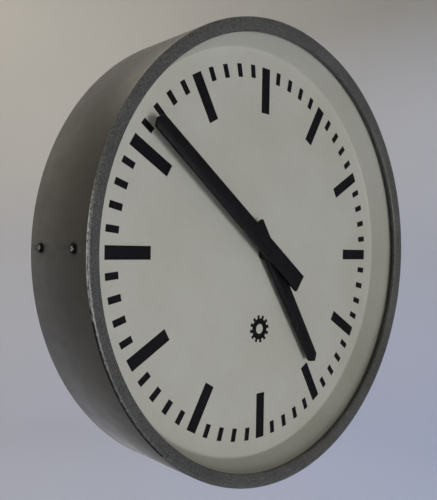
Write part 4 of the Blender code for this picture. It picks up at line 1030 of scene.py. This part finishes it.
# %% Press the back cover
PAN_SHEET = 1.5 * MM
PAN_FOLD = 2.5 * MM
KEYHOLE_HEIGHT = 150.0 * MM
KEYHOLE_RADIUS = 6.0 * MM
KEYHOLE_SLOT = 3.0 * MM
KEYHOLE_RISE = 13.0 * MM
RIVET_HOLE = 1.45 * MM
CABLE_HOLE = 8.0 * MM

bpy.ops.object.select_all(action="DESELECT")
bpy.ops.mesh.primitive_cylinder_add(
    vertices=FINE,
    radius=PAN_RADIUS,
    depth=PAN_FRONT - PAN_REAR,
    location=(0.0, -(PAN_FRONT + PAN_REAR) / 2, 0.0),
    rotation=(math.pi / 2, 0.0, 0.0),
)
back = bpy.context.object
back.name = back.data.name = "back_cover"
apply_place(back)
bpy.ops.object.mode_set(mode="EDIT")
pick(back, "faces", lambda face: face.normal.y < -0.9)
bpy.ops.mesh.delete(type="FACE")
pick(back, "edges", lambda edge: not edge.is_boundary and abs(centre_of(edge).y) < 0.1 * MM)
bpy.ops.mesh.bevel(offset=PAN_FOLD, segments=6, affect="EDGES")
bpy.ops.object.mode_set(mode="OBJECT")
modify(back, "SOLIDIFY", thickness=PAN_SHEET, offset=-1.0, use_even_offset=True)

through = 4 * PAN_SHEET
slot_end = KEYHOLE_HEIGHT + KEYHOLE_RISE
cut(back, drill(KEYHOLE_RADIUS, (0.0, through, KEYHOLE_HEIGHT), (0.0, -through, KEYHOLE_HEIGHT)))
cut(back, drill(KEYHOLE_SLOT, (0.0, through, slot_end), (0.0, -through, slot_end)))
bpy.ops.object.select_all(action="DESELECT")
bpy.ops.mesh.primitive_cube_add(size=1.0, location=(0.0, 0.0, KEYHOLE_HEIGHT + KEYHOLE_RISE / 2))
blade = bpy.context.object
blade.scale = (2 * KEYHOLE_SLOT, through, KEYHOLE_RISE)
apply_place(blade)
cut(back, blade)
for node in ("hanger_rivet_left", "hanger_rivet_right"):
    low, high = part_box(node)
    at = ((low.x + high.x) / 2, (low.z + high.z) / 2)
    cut(back, drill(RIVET_HOLE, (at[0], through, at[1]), (at[0], -through, at[1])))
cable_low, cable_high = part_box("cable_grommet")
cable_height = (cable_low.z + cable_high.z) / 2
cut(back, drill(CABLE_HOLE, (0.0, through, cable_height), (0.0, -through, cable_height)))
for depth in screw_depths:
    if depth < PAN_FRONT:
        cut(back, drill(SCREW_HOLE, (-REACH, -depth, screw_height), (REACH, -depth, screw_height)))
soften(back, 0.2 * MM)
dress(back, pan_paint, "case", "pan_paint", "back_pan")
said(back)

# %% Turn the cable bush
NECK = 7.7 * MM
CABLE_BORE = 5.0 * MM
bush_outer = cable_high.x
bush_rear, bush_front = -cable_high.y, -cable_low.y
collar = bush_rear + PAN_SHEET
bush_profile = [
    *arc(CABLE_BORE + 0.6 * MM, bush_rear + 0.6 * MM, 0.6 * MM, 180.0, 270.0, 4),
    (NECK, bush_rear),
    (NECK, collar + 0.1 * MM),
    *arc(bush_outer - 0.5 * MM, collar + 0.6 * MM, 0.5 * MM, -90.0, 60.0, 5),
    *arc(CABLE_BORE + 0.8 * MM, bush_front - 0.8 * MM, 0.8 * MM, 70.0, 180.0, 5),
]
bush = turned("cable_bush", bush_profile, MEDIUM)
bush.data.transform(Matrix.Translation((0.0, 0.0, cable_height)))
dress(bush, rubber, "case", "black_rubber", "cable_grommet")
said(bush)

# %% [markdown]
# ## Studio
#
# The clock hangs in a pale room: a round floor whose edge sweeps up into a wall, so there is no horizon
# line behind it. A soft window almost straight in front lights the dial, a little from the left, so the
# hands' shadows stay close beside them. A weak light overhead models the drum's top, and two washes
# brighten the wall and the floor behind, as daylight that has bounced round a room does.

# %% Sweep the floor up into a wall
FLOOR_HEIGHT = -1.1
ROOM_RADIUS = 4.2
SWEEP = 1.2
ROOM_HEIGHT = 3.4
# Painted light: a cool tint painted into the room's colour grows from this height down to the floor
UPPER_WALL = 0.6  # above this height the paint is its warmest
SWEEP_STEPS = 12
room_profile = [
    (0.0, 0.0),
    (ROOM_RADIUS - SWEEP, 0.0),
    *[
        (ROOM_RADIUS - SWEEP * (1 - math.sin(a)), SWEEP * (1 - math.cos(a)))
        for a in [math.pi / 2 * k / SWEEP_STEPS for k in range(1, SWEEP_STEPS + 1)]
    ],
    (ROOM_RADIUS, ROOM_HEIGHT),
]
room = turned("studio_sweep", room_profile, 96, closed=False)
room.data.transform(Matrix.Rotation(math.pi / 2, 4, "X") @ Matrix.Scale(-1.0, 4, (0.0, 1.0, 0.0)))
room.data.transform(Matrix.Translation((0.0, 0.0, FLOOR_HEIGHT)))


def make_room_paint():
    """Emulsion on plaster: pale grey, matt, with a slow drift, and a painted tint of cool light near the
    floor.
    """
    material, tree, shader, place = blank("matt_emulsion_pale", Roughness=0.9)
    # Painted light: cool near the floor, warm higher up
    painted_light_tint_share = add(tree, "SeparateXYZ", [place], output="Z")
    painted_light_tint_share = add(tree, "MapRange", [painted_light_tint_share, FLOOR_HEIGHT, UPPER_WALL, 0.0, 1.0])
    tone = add(tree, "Mix", {0: painted_light_tint_share, 6: "c2c6d2", 7: "cac8c2"}, **COLOURS)
    drift = add(tree, "TexNoise", {"Vector": place, "Scale": per(900.0), "Detail": 3.0})
    drift = add(tree, "MapRange", [drift, 0.35, 0.65, 0.0, 0.1])
    tone = add(tree, "Mix", {0: drift, 6: tone, 7: "b0b0b0"}, **COLOURS)
    link(tree, shader, Base_Color=tone)
    return material


room.data.materials.append(make_room_paint())
room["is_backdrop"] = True
print("room reaches", [round(v, 2) for v in room.dimensions])


# %% Lamps and the sky over the room
def softbox(name, place, target, size, power, colour):
    lamp = bpy.data.lights.new(name, "AREA")
    lamp.shape = "RECTANGLE"
    lamp.size, lamp.size_y = size
    lamp.energy = power
    lamp.color = linear(colour)[:3]
    holder = bpy.data.objects.new(name, lamp)
    bpy.context.scene.collection.objects.link(holder)
    holder.location = place
    holder.rotation_euler = (Vector(target) - Vector(place)).to_track_quat("-Z", "Y").to_euler()
    return holder


softbox("window_light", (-0.35, -2.4, -0.45), (0.0, 0.0, 0.0), (0.8, 0.8), 25.0, "fcfcff")
softbox("ceiling_light", (-0.5, 0.5, 2.2), (0.0, 0.0, 0.0), (1.6, 1.6), 24.0, "fff8ec")
softbox("wall_wash", (-0.2, 1.4, 2.4), (0.6, 4.2, 1.1), (1.4, 0.8), 50.0, "fff6e8")
softbox("floor_wash", (2.2, 0.6, 1.6), (2.9, 0.5, -1.1), (1.0, 1.0), 26.0, "c4d4ff")

sky = bpy.data.worlds.new("sky")
sky.use_nodes = True
sky.node_tree.nodes["Background"].inputs["Color"].default_value = linear("dcdad8")
sky.node_tree.nodes["Background"].inputs["Strength"].default_value = 0.3
bpy.context.scene.world = sky
bpy.context.scene.view_settings.view_transform = "Standard"

# %% [markdown]
# ## Camera
#
# The viewer stands close to the left of the clock at the height of its centre, so the drum's side shows
# and the ring becomes an oval. A small lens shift puts the clock slightly below the middle of the view.

# %% Place the camera
EYE = (-0.4127, -0.4215, 0.0046)
AIM = (89.09, -0.974, -43.803)  # tilt, roll and heading in degrees
LENS = 41.41
SHIFT = (-0.0012, 0.0148)

view = bpy.data.cameras.new("viewer")
view.lens = LENS
view.sensor_width = 36.0
view.shift_x, view.shift_y = SHIFT
view.clip_start = 0.02
camera = bpy.data.objects.new("viewer", view)
bpy.context.scene.collection.objects.link(camera)
camera.location = EYE
camera.rotation_euler = [math.radians(angle) for angle in AIM]
bpy.context.scene.camera = camera
print("camera", [round(v, 3) for v in camera.location])

# %% [markdown]
# ## Size
#
# The dressed clock must be no bigger than the working model, or it wouldn't fit where the model fits.
# Both boxes are printed.

# %% Print the size of both boxes
visual_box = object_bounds()
sizes = {"cad": [list(corner) for corner in cad_box], "visual": [list(corner) for corner in visual_box]}
for label, box in sizes.items():
    print(label, [[round(1000 * v, 2) for v in corner] for corner in box])
